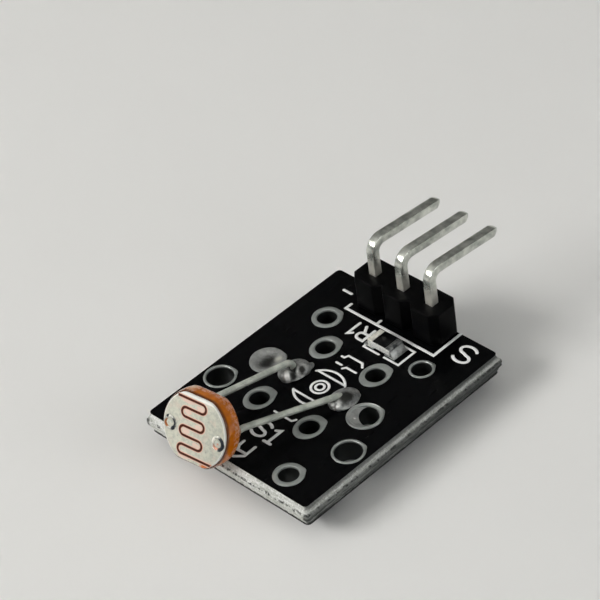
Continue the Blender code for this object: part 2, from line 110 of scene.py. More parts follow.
def start_circle(name, rings, centre=(0, 0), sides=48, fill="NOTHING"):
    """Adds a circle at the first ring, oval if its half sizes differ, and leaves it selected in edit mode."""
    half_x, half_y, z = rings[0]
    bpy.ops.mesh.primitive_circle_add(vertices=sides, radius=half_x, fill_type=fill, location=(*centre, z))
    piece = bpy.context.object
    piece.name = name
    bpy.ops.object.transform_apply(location=True)
    bpy.ops.object.mode_set(mode="EDIT")
    bpy.ops.mesh.select_all(action="SELECT")
    bpy.ops.transform.resize(value=(1, half_y / half_x, 1), center_override=(*centre, z))
    return piece


def end_shaping(merge=0.0000005, smooth_degrees=35):
    """Merges doubles, turns faces outwards, leaves edit mode and shades smooth between sharp edges."""
    bpy.ops.mesh.select_all(action="SELECT")
    bpy.ops.mesh.remove_doubles(threshold=merge)
    bpy.ops.mesh.normals_make_consistent(inside=False)
    bpy.ops.object.mode_set(mode="OBJECT")
    bpy.ops.object.shade_smooth_by_angle(angle=math.radians(smooth_degrees))


floor_level = cad_low.z - floor_gap
floor_rings = [(floor_radius, floor_radius, floor_level)]
for step in range(1, wall_steps + 1):
    turn = math.pi / 2 * step / wall_steps
    reach = floor_radius + (wall_radius - floor_radius) * math.sin(turn)
    floor_rings.append((reach, reach, floor_level + wall_height * (1 - math.cos(turn))))
floor = start_circle("floor", floor_rings, sides=floor_sides, fill="NGON")
draw_rings(floor_rings)
bpy.ops.mesh.select_all(action="SELECT")
bpy.ops.object.mode_set(mode="OBJECT")
bpy.ops.object.shade_smooth_by_angle(angle=math.radians(35))
paper = bpy.data.materials.new("floor_paper")
paper.use_nodes = True
paper_sockets = paper.node_tree.nodes["Principled BSDF"].inputs
paper_sockets["Base Color"].default_value = (*floor_colour, 1)
paper_sockets["Roughness"].default_value = floor_roughness
paper_sockets["Specular IOR Level"].default_value = floor_gloss
floor.data.materials.append(paper)
floor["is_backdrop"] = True


# The light: three square soft boxes round the module under a dim ceiling. The main one stands before the
# photocell's face, a weaker one to the right of the board, and a high one evens the floor.
lamp_table = (
    ("key_lamp", -28, 42, 0.55, 0.30, 4.6, (1.0, 0.985, 0.96)),
    ("side_lamp", 100, 30, 0.60, 0.34, 0.9, (0.96, 0.98, 1.0)),
    ("top_lamp", 60, 76, 0.75, 0.40, 4.6, (1.0, 1.0, 1.0)),
)
ceiling_colour = (0.06, 0.06, 0.063)

for name, azimuth, elevation, distance, size, watts, colour in lamp_table:
    around = math.radians(azimuth)
    upward = math.radians(elevation)
    level = math.cos(upward)
    back = Vector((math.sin(around) * level, -math.cos(around) * level, math.sin(upward)))
    turned = (math.pi / 2 - upward, 0, around)
    bpy.ops.object.light_add(type="AREA", location=back * distance, rotation=turned)
    lamp = bpy.context.object
    lamp.name = name
    lamp.data.shape = "SQUARE"
    lamp.data.size = size
    lamp.data.energy = watts
    lamp.data.color = colour
room = bpy.data.worlds.new("room")
room.use_nodes = True
room.node_tree.nodes["Background"].inputs["Color"].default_value = (*ceiling_colour, 1)
bpy.context.scene.world = room


# The board: glass laminate under black solder mask, drilled, and snapped out of a scored panel.
# Its edges show the two slanted score cuts and, between them, the torn web of glass fibres.
score_inset = 0.0003
score_depth = 0.00052
web_step = 0.00008
same_level = web_step / 2
board_corner = 0.0003
board_corner_steps = 4
edge_cuts = 230
facet_rows = 7
web_rows = 6
chip_grain = 0.00034
chip_depth = 0.00013
fibre_grain = 0.0001
fibre_depth = 0.00006
flat_normal = 0.999
drill_sides = 64
drill_clearance = 0.00007
bore_widening = 0.00006
drill_overrun = 0.0005
drilled = sorted(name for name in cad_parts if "_hole_" in name)
tear_share = 0.62
tear_half = (0.02, 0.13)
# A ridge under the upper cut is kept out of the painted shade on the long sides, as a painted highlight.
lit_ridge_below_top = 0.42
lit_ridge_half = (0.03, 0.22)
flank_inset = (0.55, 0.36)
shade_run = (-15.0, 9.0)
mask_black = (0.0012, 0.0013, 0.0017)
mask_worn = (0.0025, 0.0026, 0.003)
mask_speck = (0.10, 0.10, 0.095)
glass_pale = (0.74, 0.75, 0.73)
glass_frayed = (0.86, 0.87, 0.86)
glass_green = (0.36, 0.38, 0.33)
# Colours of painted shade: on the long sides, and in the pits.
glass_in_shade = (0.035, 0.040, 0.037)
pit_shade = (0.02, 0.021, 0.02)


def select_only(active, *others):
    """Selects these pieces and nothing else, and makes the first one active."""
    bpy.ops.object.select_all(action="DESELECT")
    for piece in (active, *others):
        piece.select_set(True)
    bpy.context.view_layer.objects.active = active


def pick(kind, test):
    """In edit mode, selects only the verts, edges or faces that pass the test."""
    bpy.ops.mesh.select_mode(type={"verts": "VERT", "edges": "EDGE", "faces": "FACE"}[kind])
    bpy.ops.mesh.select_all(action="DESELECT")
    mesh = bpy.context.object.data
    shape = bmesh.from_edit_mesh(mesh)
    for item in getattr(shape, kind):
        if test(item):
            item.select_set(True)
    shape.select_flush_mode()
    bmesh.update_edit_mesh(mesh)


def middle(edge):
    return (edge.verts[0].co + edge.verts[1].co) / 2


def apply_modifier(piece, kind, **settings):
    """Adds a modifier with these settings to the active piece and applies it."""
    modifier = piece.modifiers.new(kind.lower(), kind)
    for name, value in settings.items():
        setattr(modifier, name, value)
    bpy.ops.object.modifier_apply(modifier=modifier.name)


def hand_over(piece, slot, material, *nodes):
    """Gives the piece its material, hangs it under the root body and hides the nodes that it replaces; the
    slot is not used.
    """
    piece.data.materials.append(material)
    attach(piece, "root")
    if nodes:
        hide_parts(*nodes)


def roughen(piece, name, grain, depth, group="", level=1.0):
    """Moves the surface along its normals by cloudy noise: inwards only at level 1, both ways at 0.5."""
    grit = bpy.data.textures.new(name, "CLOUDS")
    grit.noise_scale = grain
    grit.noise_depth = 2
    apply_modifier(piece, "DISPLACE", texture=grit, strength=depth, mid_level=level, vertex_group=group)


def hole_of(node):
    """A plated hole, read off its node: its centre, its bore, and its pads' half width and half length."""
    low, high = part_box(node)
    centre = (low + high) / 2
    bore = min((vertex.co.xy - centre.xy).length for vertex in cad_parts[node].data.vertices)
    if node.startswith("plated_hole"):
        bore += bore_widening
    return centre, bore, (high.x - low.x) / 2, (high.y - low.y) / 2


class Thread:
    """A value in a finish. Sums, products and comparisons of threads add Math nodes that work them out."""

    def __init__(self, finish, socket):
        self.finish = finish
        self.socket = socket

    def reckon(self, operation, *values):
        return self.finish.add("Math", {"operation": operation}, dict(enumerate(values)))

    def __add__(self, other):
        return self.reckon("ADD", self, other)

    def __sub__(self, other):
        return self.reckon("SUBTRACT", self, other)

    def __rsub__(self, other):
        return self.reckon("SUBTRACT", other, self)

    def __mul__(self, other):
        return self.reckon("MULTIPLY", self, other)

    def __gt__(self, other):
        return self.reckon("GREATER_THAN", self, other)

    def __lt__(self, other):
        return self.reckon("LESS_THAN", self, other)

    def __abs__(self):
        return self.reckon("ABSOLUTE", self)

    __radd__ = __add__
    __rmul__ = __mul__


class Finish:
    """A procedural material, which knows each point's place in millimetres from the material's middle."""

    def __init__(self, name, middle=(0, 0, 0), turn=(0, 0, 0)):
        self.material = bpy.data.materials.new(name)
        self.material.use_nodes = True
        self.nodes = self.material.node_tree.nodes
        self.shader = self.nodes["Principled BSDF"]
        point = self.add("TexCoord", output="Object")
        inputs = {"Vector": point, "Location": middle, "Rotation": turn, "Scale": (0.001,) * 3}
        self.place = self.add("Mapping", {"vector_type": "TEXTURE"}, inputs)

    def put(self, socket, value):
        if isinstance(value, Thread):
            self.material.node_tree.links.new(value.socket, socket)
        elif socket.type == "RGBA":
            socket.default_value = (*value, 1)
        else:
            socket.default_value = value

    def add(self, kind, settings=None, inputs=None, output=0):
        """Adds a node: its settings first, then its sockets' values or threads. Returns one output."""
        node = self.nodes.new("ShaderNode" + kind)
        for name, value in (settings or {}).items():
            setattr(node, name, value)
        for name, value in (inputs or {}).items():
            self.put(node.inputs[name], value)
        return Thread(self, node.outputs[output])

    def shade(self, colour, roughness, normal=None, others=()):
        """The finished material, once these values or threads are in its shader's sockets."""
        sockets = {"Base Color": colour, "Roughness": roughness, "Normal": normal}
        sockets.update(others)
        for name, value in sockets.items():
            if value is not None:
                self.put(self.shader.inputs[name], value)
        return self.material

    def axis(self, letter):
        return self.add("SeparateXYZ", inputs={"Vector": self.place}, output=letter)

    def stretched(self, x, y, z):
        return self.add("VectorMath", {"operation": "MULTIPLY"}, {0: self.place, 1: (x, y, z)})

    def length(self, vector):
        return self.add("VectorMath", {"operation": "LENGTH"}, {0: vector}, "Value")

    def bands(self, direction, per_mm, waver=0.6):
        """Wavy bands from 0 to 1 along X or Y, such as the threads of cloth under what covers it."""
        inputs = {"Vector": self.place, "Scale": per_mm, "Distortion": waver}
        return self.add("TexWave", {"bands_direction": direction}, inputs)

    def noise(self, per_mm, detail=3.0, roughness=0.5, place=None):
        """Cloudy noise from 0 to 1, with about that many clouds to a millimetre."""
        inputs = {"Vector": place or self.place, "Scale": per_mm, "Detail": detail, "Roughness": roughness}
        return self.add("TexNoise", inputs=inputs)

    def specks(self, per_mm, size):
        """1 in scattered dots of that share of their spacing, 0 elsewhere."""
        apart = self.add("TexVoronoi", inputs={"Vector": self.place, "Scale": per_mm}, output="Distance")
        return size > apart

    def rise(self, value, low, high):
        """0 below low and 1 above high, with a smooth step between."""
        settings = {"interpolation_type": "SMOOTHSTEP"}
        return self.add("MapRange", settings, {"Value": value, "From Min": low, "From Max": high})

    def mix(self, share, first, second):
        return self.add("Mix", {"data_type": "RGBA"}, {0: share, 6: first, 7: second}, 2)

    def painted(self, colour, spots, middle=(0, 0), core=0.65, ragged=0.35, rim=1.1):
        """The colour under ragged oval spots, seen along Z.

        A spot has the place of its middle, its half width, its half length and its tint.
        """
        wander = 2 * ragged * self.noise(3.2, 3, 0.6) - ragged
        for x, y, half_x, half_y, tint in spots:
            x += middle[0]
            y += middle[1]
            inputs = {0: self.place, 1: (1 / half_x, 1 / half_y, 0), 2: (-x / half_x, -y / half_y, 0)}
            reach = self.length(self.add("VectorMath", {"operation": "MULTIPLY_ADD"}, inputs))
            colour = self.mix(1 - self.rise(reach + wander, core, rim), colour, tint)
        return colour

    def bump(self, height, depth, under=None):
        """A surface that stands depth millimetres higher where height is 1."""
        inputs = {"Height": height, "Distance": depth / 1000}
        if under is not None:
            inputs["Normal"] = under
        return self.add("Bump", inputs=inputs)


def solder_mask():
    """Smooth glossy ink, with the cloth below just showing in its surface, dust under it and light scuffs."""
    ink = Finish("black_solder_mask")
    peel = ink.noise(2.2, 2)
    dust = ink.specks(1.3, ink.noise(0.8, 1) * 0.06 - 0.012)
    scuffs = ink.rise(ink.noise(3.1, 6, 0.7, ink.stretched(1, 0.15, 1)), 0.58, 0.72)
    weave = ink.bump(ink.bands("X", 0.62) + ink.bands("Y", 0.55), 0.0012)
    shape = ink.bump(dust, 0.01, ink.bump(peel, 0.006, weave))
    colour = ink.mix(dust, ink.mix(ink.noise(0.35, 3), mask_black, mask_worn), mask_speck)
    rough = 0.16 + 0.1 * ink.noise(0.9, 4) + 0.14 * scuffs
    return ink.shade(colour, rough, shape, {"Specular IOR Level": 0.05})


def bare_laminate(bottom, top):
    """Cut and torn glass cloth: pale threads in layers, pits where the web was torn, black mask at the top
    rim.

    The pits carry painted shade, and the black at the foot is partly the lower mask's edge, partly painted
    shade.
    The long sides carry painted shade, deeper towards the header and in streaks below the tear, but for a
    painted highlight along a ridge under the upper cut.
    """
    glass = Finish("torn_glass_laminate")
    height = glass.axis("Z")
    layers = glass.noise(3.0, 4, 0.65, glass.stretched(0.3, 0.3, 3.4))
    threads = glass.noise(9.0, 5, 0.7, glass.stretched(1, 1, 0.55))
    clumps = glass.noise(1.6, 3, 0.6)
    ragged = 0.1 * (clumps - 0.5)
    tear = bottom + tear_share * (top - bottom)
    near_tear = 1 - glass.rise(abs(height - tear - 1.2 * ragged), *tear_half)
    broken = glass.rise(glass.noise(2.6, 4, 0.7, glass.stretched(1, 1, 0.6)), 0.47, 0.6)
    # The pits are darkened as painted shade in them.
    pits = near_tear * broken
    crumbs = glass.rise(glass.noise(7.0, 3, 0.6), 0.63, 0.7) * 0.55
    rim = glass.rise(height + 0.05 * glass.noise(8.0, 3), top - 0.005, top + 0.025)
    # The black foot is partly the lower mask's edge and partly painted shade.
    foot = 1 - glass.rise(height - 0.04 * glass.noise(8.0, 3), bottom + 0.04, bottom + 0.11)
    # Painted shade on the long sides: deeper towards the header and over the streaks below the tear, kept off
    # the ridge.
    flank = glass.rise(abs(glass.axis("X")), *(board_half.x * 1000 - inset for inset in flank_inset))
    streaks = glass.rise(glass.noise(2.2, 4, 0.65, glass.stretched(0.12, 0.12, 2.6)), 0.4, 0.6)
    under = 1 - glass.rise(height - ragged, tear - 0.3, tear - 0.02)
    shaded = glass.rise(glass.axis("Y"), *shade_run)
    off_lit_ridge = glass.rise(abs(height - (top - lit_ridge_below_top) - ragged), *lit_ridge_half)
    flank_shade = flank * (0.05 + 0.22 * shaded + 0.64 * off_lit_ridge + 0.3 * under * streaks)
    pale = glass.mix(glass.rise(layers, 0.36, 0.66), glass_green, glass_pale)
    frayed = glass.mix(glass.rise(threads, 0.42, 0.7), pale, glass_frayed)
    frayed = glass.mix(under * streaks * 0.6, frayed, glass_green)
    torn = glass.mix(pits, glass.mix(crumbs, frayed, glass_green), pit_shade)
    torn = glass.mix(flank_shade, torn, glass_in_shade)
    colour = glass.mix(rim, glass.mix(foot, torn, mask_black), mask_black)
    shape = glass.bump(threads + layers - pits, 0.045)
    return glass.shade(colour, 0.5 + 0.3 * threads, shape, {"IOR": 1.5})


board_low, board_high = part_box("circuit_board")
board_middle = (board_low + board_high) / 2
board_half = (board_high - board_low) / 2
board_thickness = board_high.z - board_low.z
profile = [
    (score_inset, board_low.z, facet_rows),
    (web_step, board_low.z + score_depth, 1),
    (0, board_low.z + score_depth + web_step, web_rows),
    (0, board_high.z - score_depth - web_step, 1),
    (web_step, board_high.z - score_depth, facet_rows),
    (score_inset, board_high.z, 0),
]
edge_rings = []
for (inset, z, rows), (next_inset, next_z, _) in zip(profile, profile[1:]):
    for row in range(rows):
        share = row / rows
        grown = inset + share * (next_inset - inset)
        edge_rings.append((board_half.x - grown, board_half.y - grown, z + share * (next_z - z)))
edge_rings.append((board_half.x - score_inset, board_half.y - score_inset, board_high.z))

bpy.ops.mesh.primitive_plane_add(size=2, location=(0, 0, board_low.z))
board = bpy.context.object
board.name = "scored_board"
bpy.ops.object.transform_apply(location=True)
bpy.ops.object.mode_set(mode="EDIT")
bpy.ops.transform.resize(value=(edge_rings[0][0], edge_rings[0][1], 1), center_override=(0, 0, board_low.z))
bpy.ops.transform.translate(value=(board_middle.x, board_middle.y, 0))
bpy.ops.mesh.bevel(offset=board_corner, segments=board_corner_steps, affect="VERTICES")
bpy.ops.mesh.select_all(action="SELECT")
bpy.ops.mesh.delete(type="ONLY_FACE")
pick("edges", lambda edge: edge.calc_length() > 4 * board_corner)
bpy.ops.mesh.subdivide(number_cuts=edge_cuts)
bpy.ops.mesh.select_all(action="SELECT")
draw_rings(edge_rings, board_middle.xy)
for level in (board_low.z, board_high.z):
    pick("edges", lambda edge: abs(middle(edge).z - level) < same_level)
    bpy.ops.mesh.edge_face_add()
end_shaping(smooth_degrees=30)

rims = {board_low.z, board_high.z}
torn = board.vertex_groups.new(name="torn")
for vertex in board.data.vertices:
    if min(abs(vertex.co.z - level) for level in rims) > same_level:
        torn.add([vertex.index], 1.0, "REPLACE")
roughen(board, "edge_chips", chip_grain, chip_depth, "torn")
roughen(board, "edge_fibres", fibre_grain, fibre_depth, "torn")

drills = []
for node in drilled:
    centre, bore, _, _ = hole_of(node)
    bpy.ops.mesh.primitive_cylinder_add(
        vertices=drill_sides,
        radius=bore + drill_clearance,
        depth=board_thickness + 2 * drill_overrun,
        location=(centre.x, centre.y, board_middle.z),
    )
    drills.append(bpy.context.object)
*others, drill = drills
select_only(drill, *others)
bpy.ops.object.join()
select_only(board)
apply_modifier(board, "BOOLEAN", operation="DIFFERENCE", solver="EXACT", object=drill)
bpy.data.objects.remove(drill)

board.data.materials.clear()
board.data.materials.append(solder_mask())
hand_over(board, "board", bare_laminate(board_low.z * 1000, board_high.z * 1000), "circuit_board")
for face in board.data.polygons:
    level_face = min(abs(face.center.z - level) for level in rims) < same_level
    masked = level_face and abs(face.normal.z) > flat_normal
    face.material_index = 0 if masked else 1
    face.use_smooth = not masked


# The plated holes: tinned copper pads on both faces, joined through the board by a plated barrel.
# The tin was levelled with hot air, so each pad is a little domed and has a soft matt bloom. Each has a small
# point in its outline, and the solder mask creeps over the rim of the rear right one.
pad_sides = 64
pad_swell = 0.000014
pad_round = 0.00005
pad_profile = (
    (0.0, -pad_round),
    (0.05, -pad_round / 4),
    (0.16, pad_swell / 2),
    (0.5, pad_swell),
    (0.84, pad_swell / 2),
    (0.96, -pad_round / 4),
    (1.0, -pad_round),
)
plating = 0.00005
mask_creep = {"plated_hole_rear_right": 0.00018}
point_direction = math.radians(62)
point_reach = 0.00009
point_spread = 0.22
# Down the barrels, the tin is painted dark as shade inside the holes.
barrel_shade_inset = (0.08, 0.01)
tin_pale = (0.60, 0.63, 0.61)
tin_dull = (0.33, 0.36, 0.35)
tin_barrel_shade = (0.035, 0.038, 0.037)


def hot_tin(bottom, top):
    """Levelled tin on both faces of the board, with painted shade down the barrels between them, in mm."""
    tin = Finish("levelled_tin")
    from_middle = abs(tin.axis("Z") - (bottom + top) / 2)
    out_of_barrel_shade = tin.rise(from_middle, *((top - bottom) / 2 - inset for inset in barrel_shade_inset))
    bloom = tin.noise(1.7, 4, 0.6)
    grain = tin.noise(16.0, 4, 0.7)
    stains = tin.rise(tin.noise(3.4, 5, 0.65), 0.55, 0.75)
    colour = tin.mix(stains * 0.6, tin.mix(bloom, tin_dull, tin_pale), tin_dull)
    colour = tin.mix(out_of_barrel_shade, tin_barrel_shade, colour)
    rough = 0.34 + 0.16 * grain + 0.1 * stains
    shape = tin.bump(grain, 0.004, tin.bump(bloom, 0.02))
    return tin.shade(colour, rough, shape, {"Metallic": 0.85})


def plated_ring(node, tin):
    """One plated hole as a closed sleeve: the lower pad, the barrel, the upper pad and back inside."""
    centre, bore, half_x, half_y = hole_of(node)
    low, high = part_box(node)
    creep = mask_creep.get(node, 0)
    half_x -= creep
    half_y -= creep
    grown = [(share, high.z + rise) for share, rise in pad_profile]
    below = [(share, low.z - rise) for share, rise in reversed(pad_profile)]
    rings = []
    for share, z in below + grown:
        rings.append((bore + share * (half_x - bore), bore + share * (half_y - bore), z))
    barrel = bore + plating
    rings.append((barrel, barrel, high.z - pad_round))
    rings.append((barrel, barrel, low.z + pad_round))
    rings.append(rings[0])
    ring = start_circle(f"tinned_{node}", rings, centre.xy, pad_sides)
    draw_rings(rings, centre.xy)
    end_shaping()
    for vertex in ring.data.vertices:
        out = vertex.co.xy - centre.xy
        turn = math.atan2(out.y, out.x) - point_direction
        share = math.exp(-((turn / point_spread) ** 2))
        edge = min(1, max(0, (out.length - bore) / (half_x - bore)))
        vertex.co.xy += out.normalized() * point_reach * share * edge**2
    hand_over(ring, "tin", tin, node)


tin = hot_tin(board_low.z * 1000, board_high.z * 1000)
for node in drilled:
    plated_ring(node, tin)


# The print: white ink on the upper face, laid down by a silk screen as strokes of two pen widths.
# It frames the header, the resistor and the photocell's place, and marks pins and parts with plain letters.
pen_width = 0.00023
fine_pen = 0.00018
ink_height = 0.000012
ink_gap = 0.000004
ink_facets = 2
cap_shares = ((0.5, 0.12), (0.44, 0.5), (0.3, 0.82), (0.12, 0.97))
s_upper_turn = (28, 250)
s_lower_turn = (70, -152)
ink_white = (0.95, 0.96, 0.95)
ink_thin = (0.66, 0.68, 0.67)
print_origin = Vector((board_low.x + score_inset, board_low.y + score_inset, board_high.z + ink_gap))


def arc(centre, radius, start, end, steps=14, squash=1.0):
    """Points on an arc from one angle to another, in degrees, in the print's millimetres."""
    turns = [math.radians(start + (end - start) * step / steps) for step in range(steps + 1)]
    return [(centre[0] + radius * math.cos(a), centre[1] + radius * squash * math.sin(a)) for a in turns]


def pen_stroke(points, width):
    """One stroke with round ends, as places and the pen's share of its radius there.

    The radius grows at a corner, so that the stroke keeps its width round it.
    """
    points = [Vector((x, y, 0)) for x, y in points]
    start = (points[0] - points[1]).normalized()
    end = (points[-1] - points[-2]).normalized()
    row = [(points[0] + start * width * share, radius) for share, radius in cap_shares]
    for i, point in enumerate(points):
        spread = 1.0
        if 0 < i < len(points) - 1:
            coming = (point - points[i - 1]).normalized()
            going = (points[i + 1] - point).normalized()
            spread = 1 / max(0.5, math.cos(coming.angle(going) / 2))
        row.append((point, spread))
    row += [(points[-1] + end * width * share, radius) for share, radius in reversed(cap_shares)]
    return [(place, radius * width / pen) for place, radius in row]


def drawn_tubes(name, radius, facets, routes):
    """Round tubes in one mesh, along routes of places with the share of the radius there."""
    curve = bpy.data.curves.new(name, "CURVE")
    curve.dimensions = "3D"
    curve.bevel_depth = radius
    curve.bevel_resolution = facets
    curve.use_fill_caps = True
    for route in routes:
        spline = curve.splines.new("POLY")
        spline.points.add(len(route) - 1)
        for knot, (place, share) in zip(spline.points, route):
            knot.co = (*place, 1)
            knot.radius = share
    piece = bpy.data.objects.new(name, curve)
    bpy.context.collection.objects.link(piece)
    select_only(piece)
    bpy.ops.object.convert(target="MESH")
    return piece


def letter_s(low, high, left, right):
    """An S of straight and round strokes between these edges, in the print's millimetres."""
    across = (left + right) / 2
    half = (right - left) / 2
    waist = (low + high) / 2
    rise = (high - low) / 4
    upper = arc((across, high - rise), half, *s_upper_turn, squash=rise / half)
    lower = arc((across, low + rise), half, *s_lower_turn, squash=rise / half)
    slant = [(across - half / 4, waist + rise / 8), (across + half / 4, waist - rise / 8)]
    return [*upper[:-1], *slant, *lower[1:]]


def upside_down(points, corner):
    """The points turned half a turn, so that their origin comes to the corner."""
    return [(corner[0] - x, corner[1] - y) for x, y in points]


pen = pen_width * 1000
thin = fine_pen * 1000
header_frame = [(3.25, 15.72), (3.25, 15.22), (11.19, 15.22), (11.19, 17.86)]
header_tick = [(6.03, 15.22), (6.03, 15.66)]
minus_mark = [(1.83, 16.5), (2.52, 16.5)]
signal_mark = letter_s(15.74, 17.32, 12.16, 13.38)
sensor_letter = letter_s(2.74, 4.06, 6.58, 7.64)
sensor_one = [(7.98, 3.84), (8.3, 4.02), (8.3, 2.7)]
sensor_one_foot = [(8.0, 2.7), (8.58, 2.7)]
resistor_left = [(6.85, 14.0), (6.87, 13.14), (8.22, 13.14)]
resistor_right = [(8.82, 14.73), (9.98, 14.73), (9.98, 13.14), (8.72, 13.14)]
letter_r = [(0, 0), (0, 1.2), *arc((0.42, 0.88), 0.32, 90, -90, 8), (0, 0.56)]
letter_r_leg = [(0.4, 0.56), (0.74, 0)]
figure_one = [(1.1, 0.98), (1.36, 1.2), (1.36, 0)]
name_corner = (6.44, 14.66)
sensor_top = [(6.4, 11.56), (6.62, 11.56), (6.73, 11.85), (7.98, 11.85), (8.26, 11.55)]
sensor_foot = [(6.6, 5.08), (8.14, 5.08), (8.3, 5.34)]
dashes = ([(6.52, 10.92), (6.98, 10.92)], [(7.26, 10.7), (7.42, 10.92), (8.28, 10.92)])
eye = (7.34, 8.52)
iris_radius = 0.6
pupil_radius = 0.3
lens_radius = 1.65
lens_upper = [(6.14, 9.59), (8.6, 9.59), *arc((eye[0], 8.5), lens_radius, 38, 142, 16)]
lens_lower = [(6.14, 7.32), (8.58, 7.32), *arc((eye[0], 8.4), lens_radius, -40, -140, 16)]
half_hidden_mark = (
    [(7.0, 1.9), (7.02, 1.42), (7.25, 1.1), (8.0, 1.13)],
    [(8.0, 1.92), (8.02, 0.94), (7.46, 0.5)],
)

bold_strokes = [
    header_frame,
    header_tick,
    minus_mark,
    signal_mark,
    sensor_letter,
    sensor_one,
    sensor_one_foot,
    upside_down(letter_r, name_corner),
    upside_down(letter_r_leg, name_corner),
    upside_down(figure_one, name_corner),
    *half_hidden_mark,
]
fine_strokes = [
    resistor_left,
    resistor_right,
    sensor_top,
    sensor_foot,
    *dashes,
    lens_upper,
    lens_lower,
    arc(eye, iris_radius, 0, 360, 40),
    arc(eye, pupil_radius, 0, 360, 28),
]


def white_ink():
    ink = Finish("screened_white_ink")
    worn = ink.rise(ink.noise(11.0, 4, 0.7), 0.6, 0.78)
    cloudy = ink.noise(2.4, 3)
    colour = ink.mix(worn * 0.8, ink.mix(cloudy * 0.35, ink_white, ink_thin), ink_thin)
    return ink.shade(colour, 0.5 + 0.2 * cloudy, ink.bump(ink.noise(18.0, 2), 0.004))


strokes = [pen_stroke(points, pen) for points in bold_strokes]
strokes += [pen_stroke(points, thin) for points in fine_strokes]
printed = drawn_tubes("white_print", pen / 2, ink_facets, strokes)
flatness = 2 * ink_height / pen_width
lift = Matrix.Translation(print_origin + Vector((0, 0, ink_height)))
printed.data.transform(lift @ Matrix.Diagonal((0.001, 0.001, 0.001 * flatness, 1)))
bpy.ops.object.shade_smooth()
hand_over(printed, "electrode", white_ink())


# The header block: glass-filled black plastic, moulded in three cells with notched corners and polished
# flanks. It stands flush with the rear edge of the board and is held there by its soldered pins.
block_round = 0.00009
block_round_steps = 3
plastic_black = (0.0012, 0.0012, 0.0015)
plastic_grey = (0.004, 0.0041, 0.0044)


def copy_of(node, name, merge=0.000001, flat_degrees=0.5):
    """A copy of a node's mesh as a new piece, its loose triangles merged into their flat faces."""
    piece = bpy.data.objects.new(name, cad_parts[node].data.copy())
    bpy.context.collection.objects.link(piece)
    select_only(piece)
    piece.data.materials.clear()
    bpy.ops.mesh.customdata_custom_splitnormals_clear()
    bpy.ops.object.mode_set(mode="EDIT")
    bpy.ops.mesh.select_all(action="SELECT")
    bpy.ops.mesh.remove_doubles(threshold=merge)
    bpy.ops.mesh.dissolve_limited(angle_limit=math.radians(flat_degrees))
    bpy.ops.object.mode_set(mode="OBJECT")
    return piece


def round_edges(piece, width, steps=3, edge_degrees=40, smooth_degrees=50):
    """Bevels the edges that turn by more than edge_degrees, and shades the piece smooth across the bevels."""
    limits = {"limit_method": "ANGLE", "angle_limit": math.radians(edge_degrees), "use_clamp_overlap": True}
    apply_modifier(piece, "BEVEL", width=width, segments=steps, **limits)
    bpy.ops.object.shade_smooth_by_angle(angle=math.radians(smooth_degrees))


def block_plastic():
    plastic = Finish("moulded_black_plastic")
    flow = plastic.noise(0.8, 3, 0.5, plastic.stretched(1, 1, 0.4))
    grain = plastic.noise(22.0, 3, 0.6)
    rubs = plastic.rise(plastic.noise(4.0, 6, 0.75, plastic.stretched(0.3, 1, 1)), 0.6, 0.75)
    colour = plastic.mix(rubs * 0.5, plastic_black, plastic_grey)
    shape = plastic.bump(grain, 0.0015, plastic.bump(flow, 0.008))
    return plastic.shade(colour, 0.32 + 0.1 * rubs + 0.06 * flow, shape, {"Specular IOR Level": 0.06})


block = copy_of("header_housing", "notched_block")
round_edges(block, block_round, block_round_steps)
hand_over(block, "housing", block_plastic(), "header_housing")


# The three pins: square brass wire with tin plating, pressed through the block, bent over and trimmed. Their
# tips are swaged to a short taper. The rolled faces carry fine marks along the wire. The plating is bright on
# the bent ends and duller near the block, where the uprights carry a painted cream highlight.
pin_width = 0.00064
pin_corner = 0.00007
pin_corner_steps = 3
pin_bend_radius = 0.00078
pin_bend_steps = 18
pin_droop = math.radians(5.5)
pin_tip_length = 0.0004
pin_tip_share = 0.5
pin_shoulder_share = 0.8
lit_matt_below_bend = (2.6, 0.9)
lit_matt_behind_face = (0.8, 1.3)
plate_pale = (0.80, 0.82, 0.76)
plate_dull = (0.36, 0.38, 0.35)
# A painted highlight, cream, on the uprights below the bend.
plate_cream_highlight = (0.94, 0.91, 0.82)


def rolled_tin():
    plate = Finish("rolled_tin_plate")
    marks = plate.noise(7.0, 5, 0.75, plate.stretched(3.0, 0.22, 0.22))
    grain = plate.noise(19.0, 3, 0.7)
    clouds = plate.noise(1.4, 3)
    low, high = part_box("header_pin_left")
    below_bend = 1 - plate.rise(plate.axis("Z"), *(high.z * 1000 - drop for drop in lit_matt_below_bend))
    upright = 1 - plate.rise(plate.axis("Y"), *(low.y * 1000 + run for run in lit_matt_behind_face))
    # The uprights below the bend are matt, and painted cream as a highlight.
    matt_and_lit = below_bend * upright
    colour = plate.mix(plate.rise(clouds + 0.5 * marks, 0.5, 1.0), plate_pale, plate_dull)
    colour = plate.mix(0.7 * matt_and_lit, colour, plate_cream_highlight)
    rough = 0.13 + 0.14 * grain + 0.22 * matt_and_lit
    shape = plate.bump(marks, 0.008, plate.bump(grain, 0.004))
    return plate.shade(colour, rough, shape, {"Metallic": 0.95 - 0.3 * matt_and_lit})


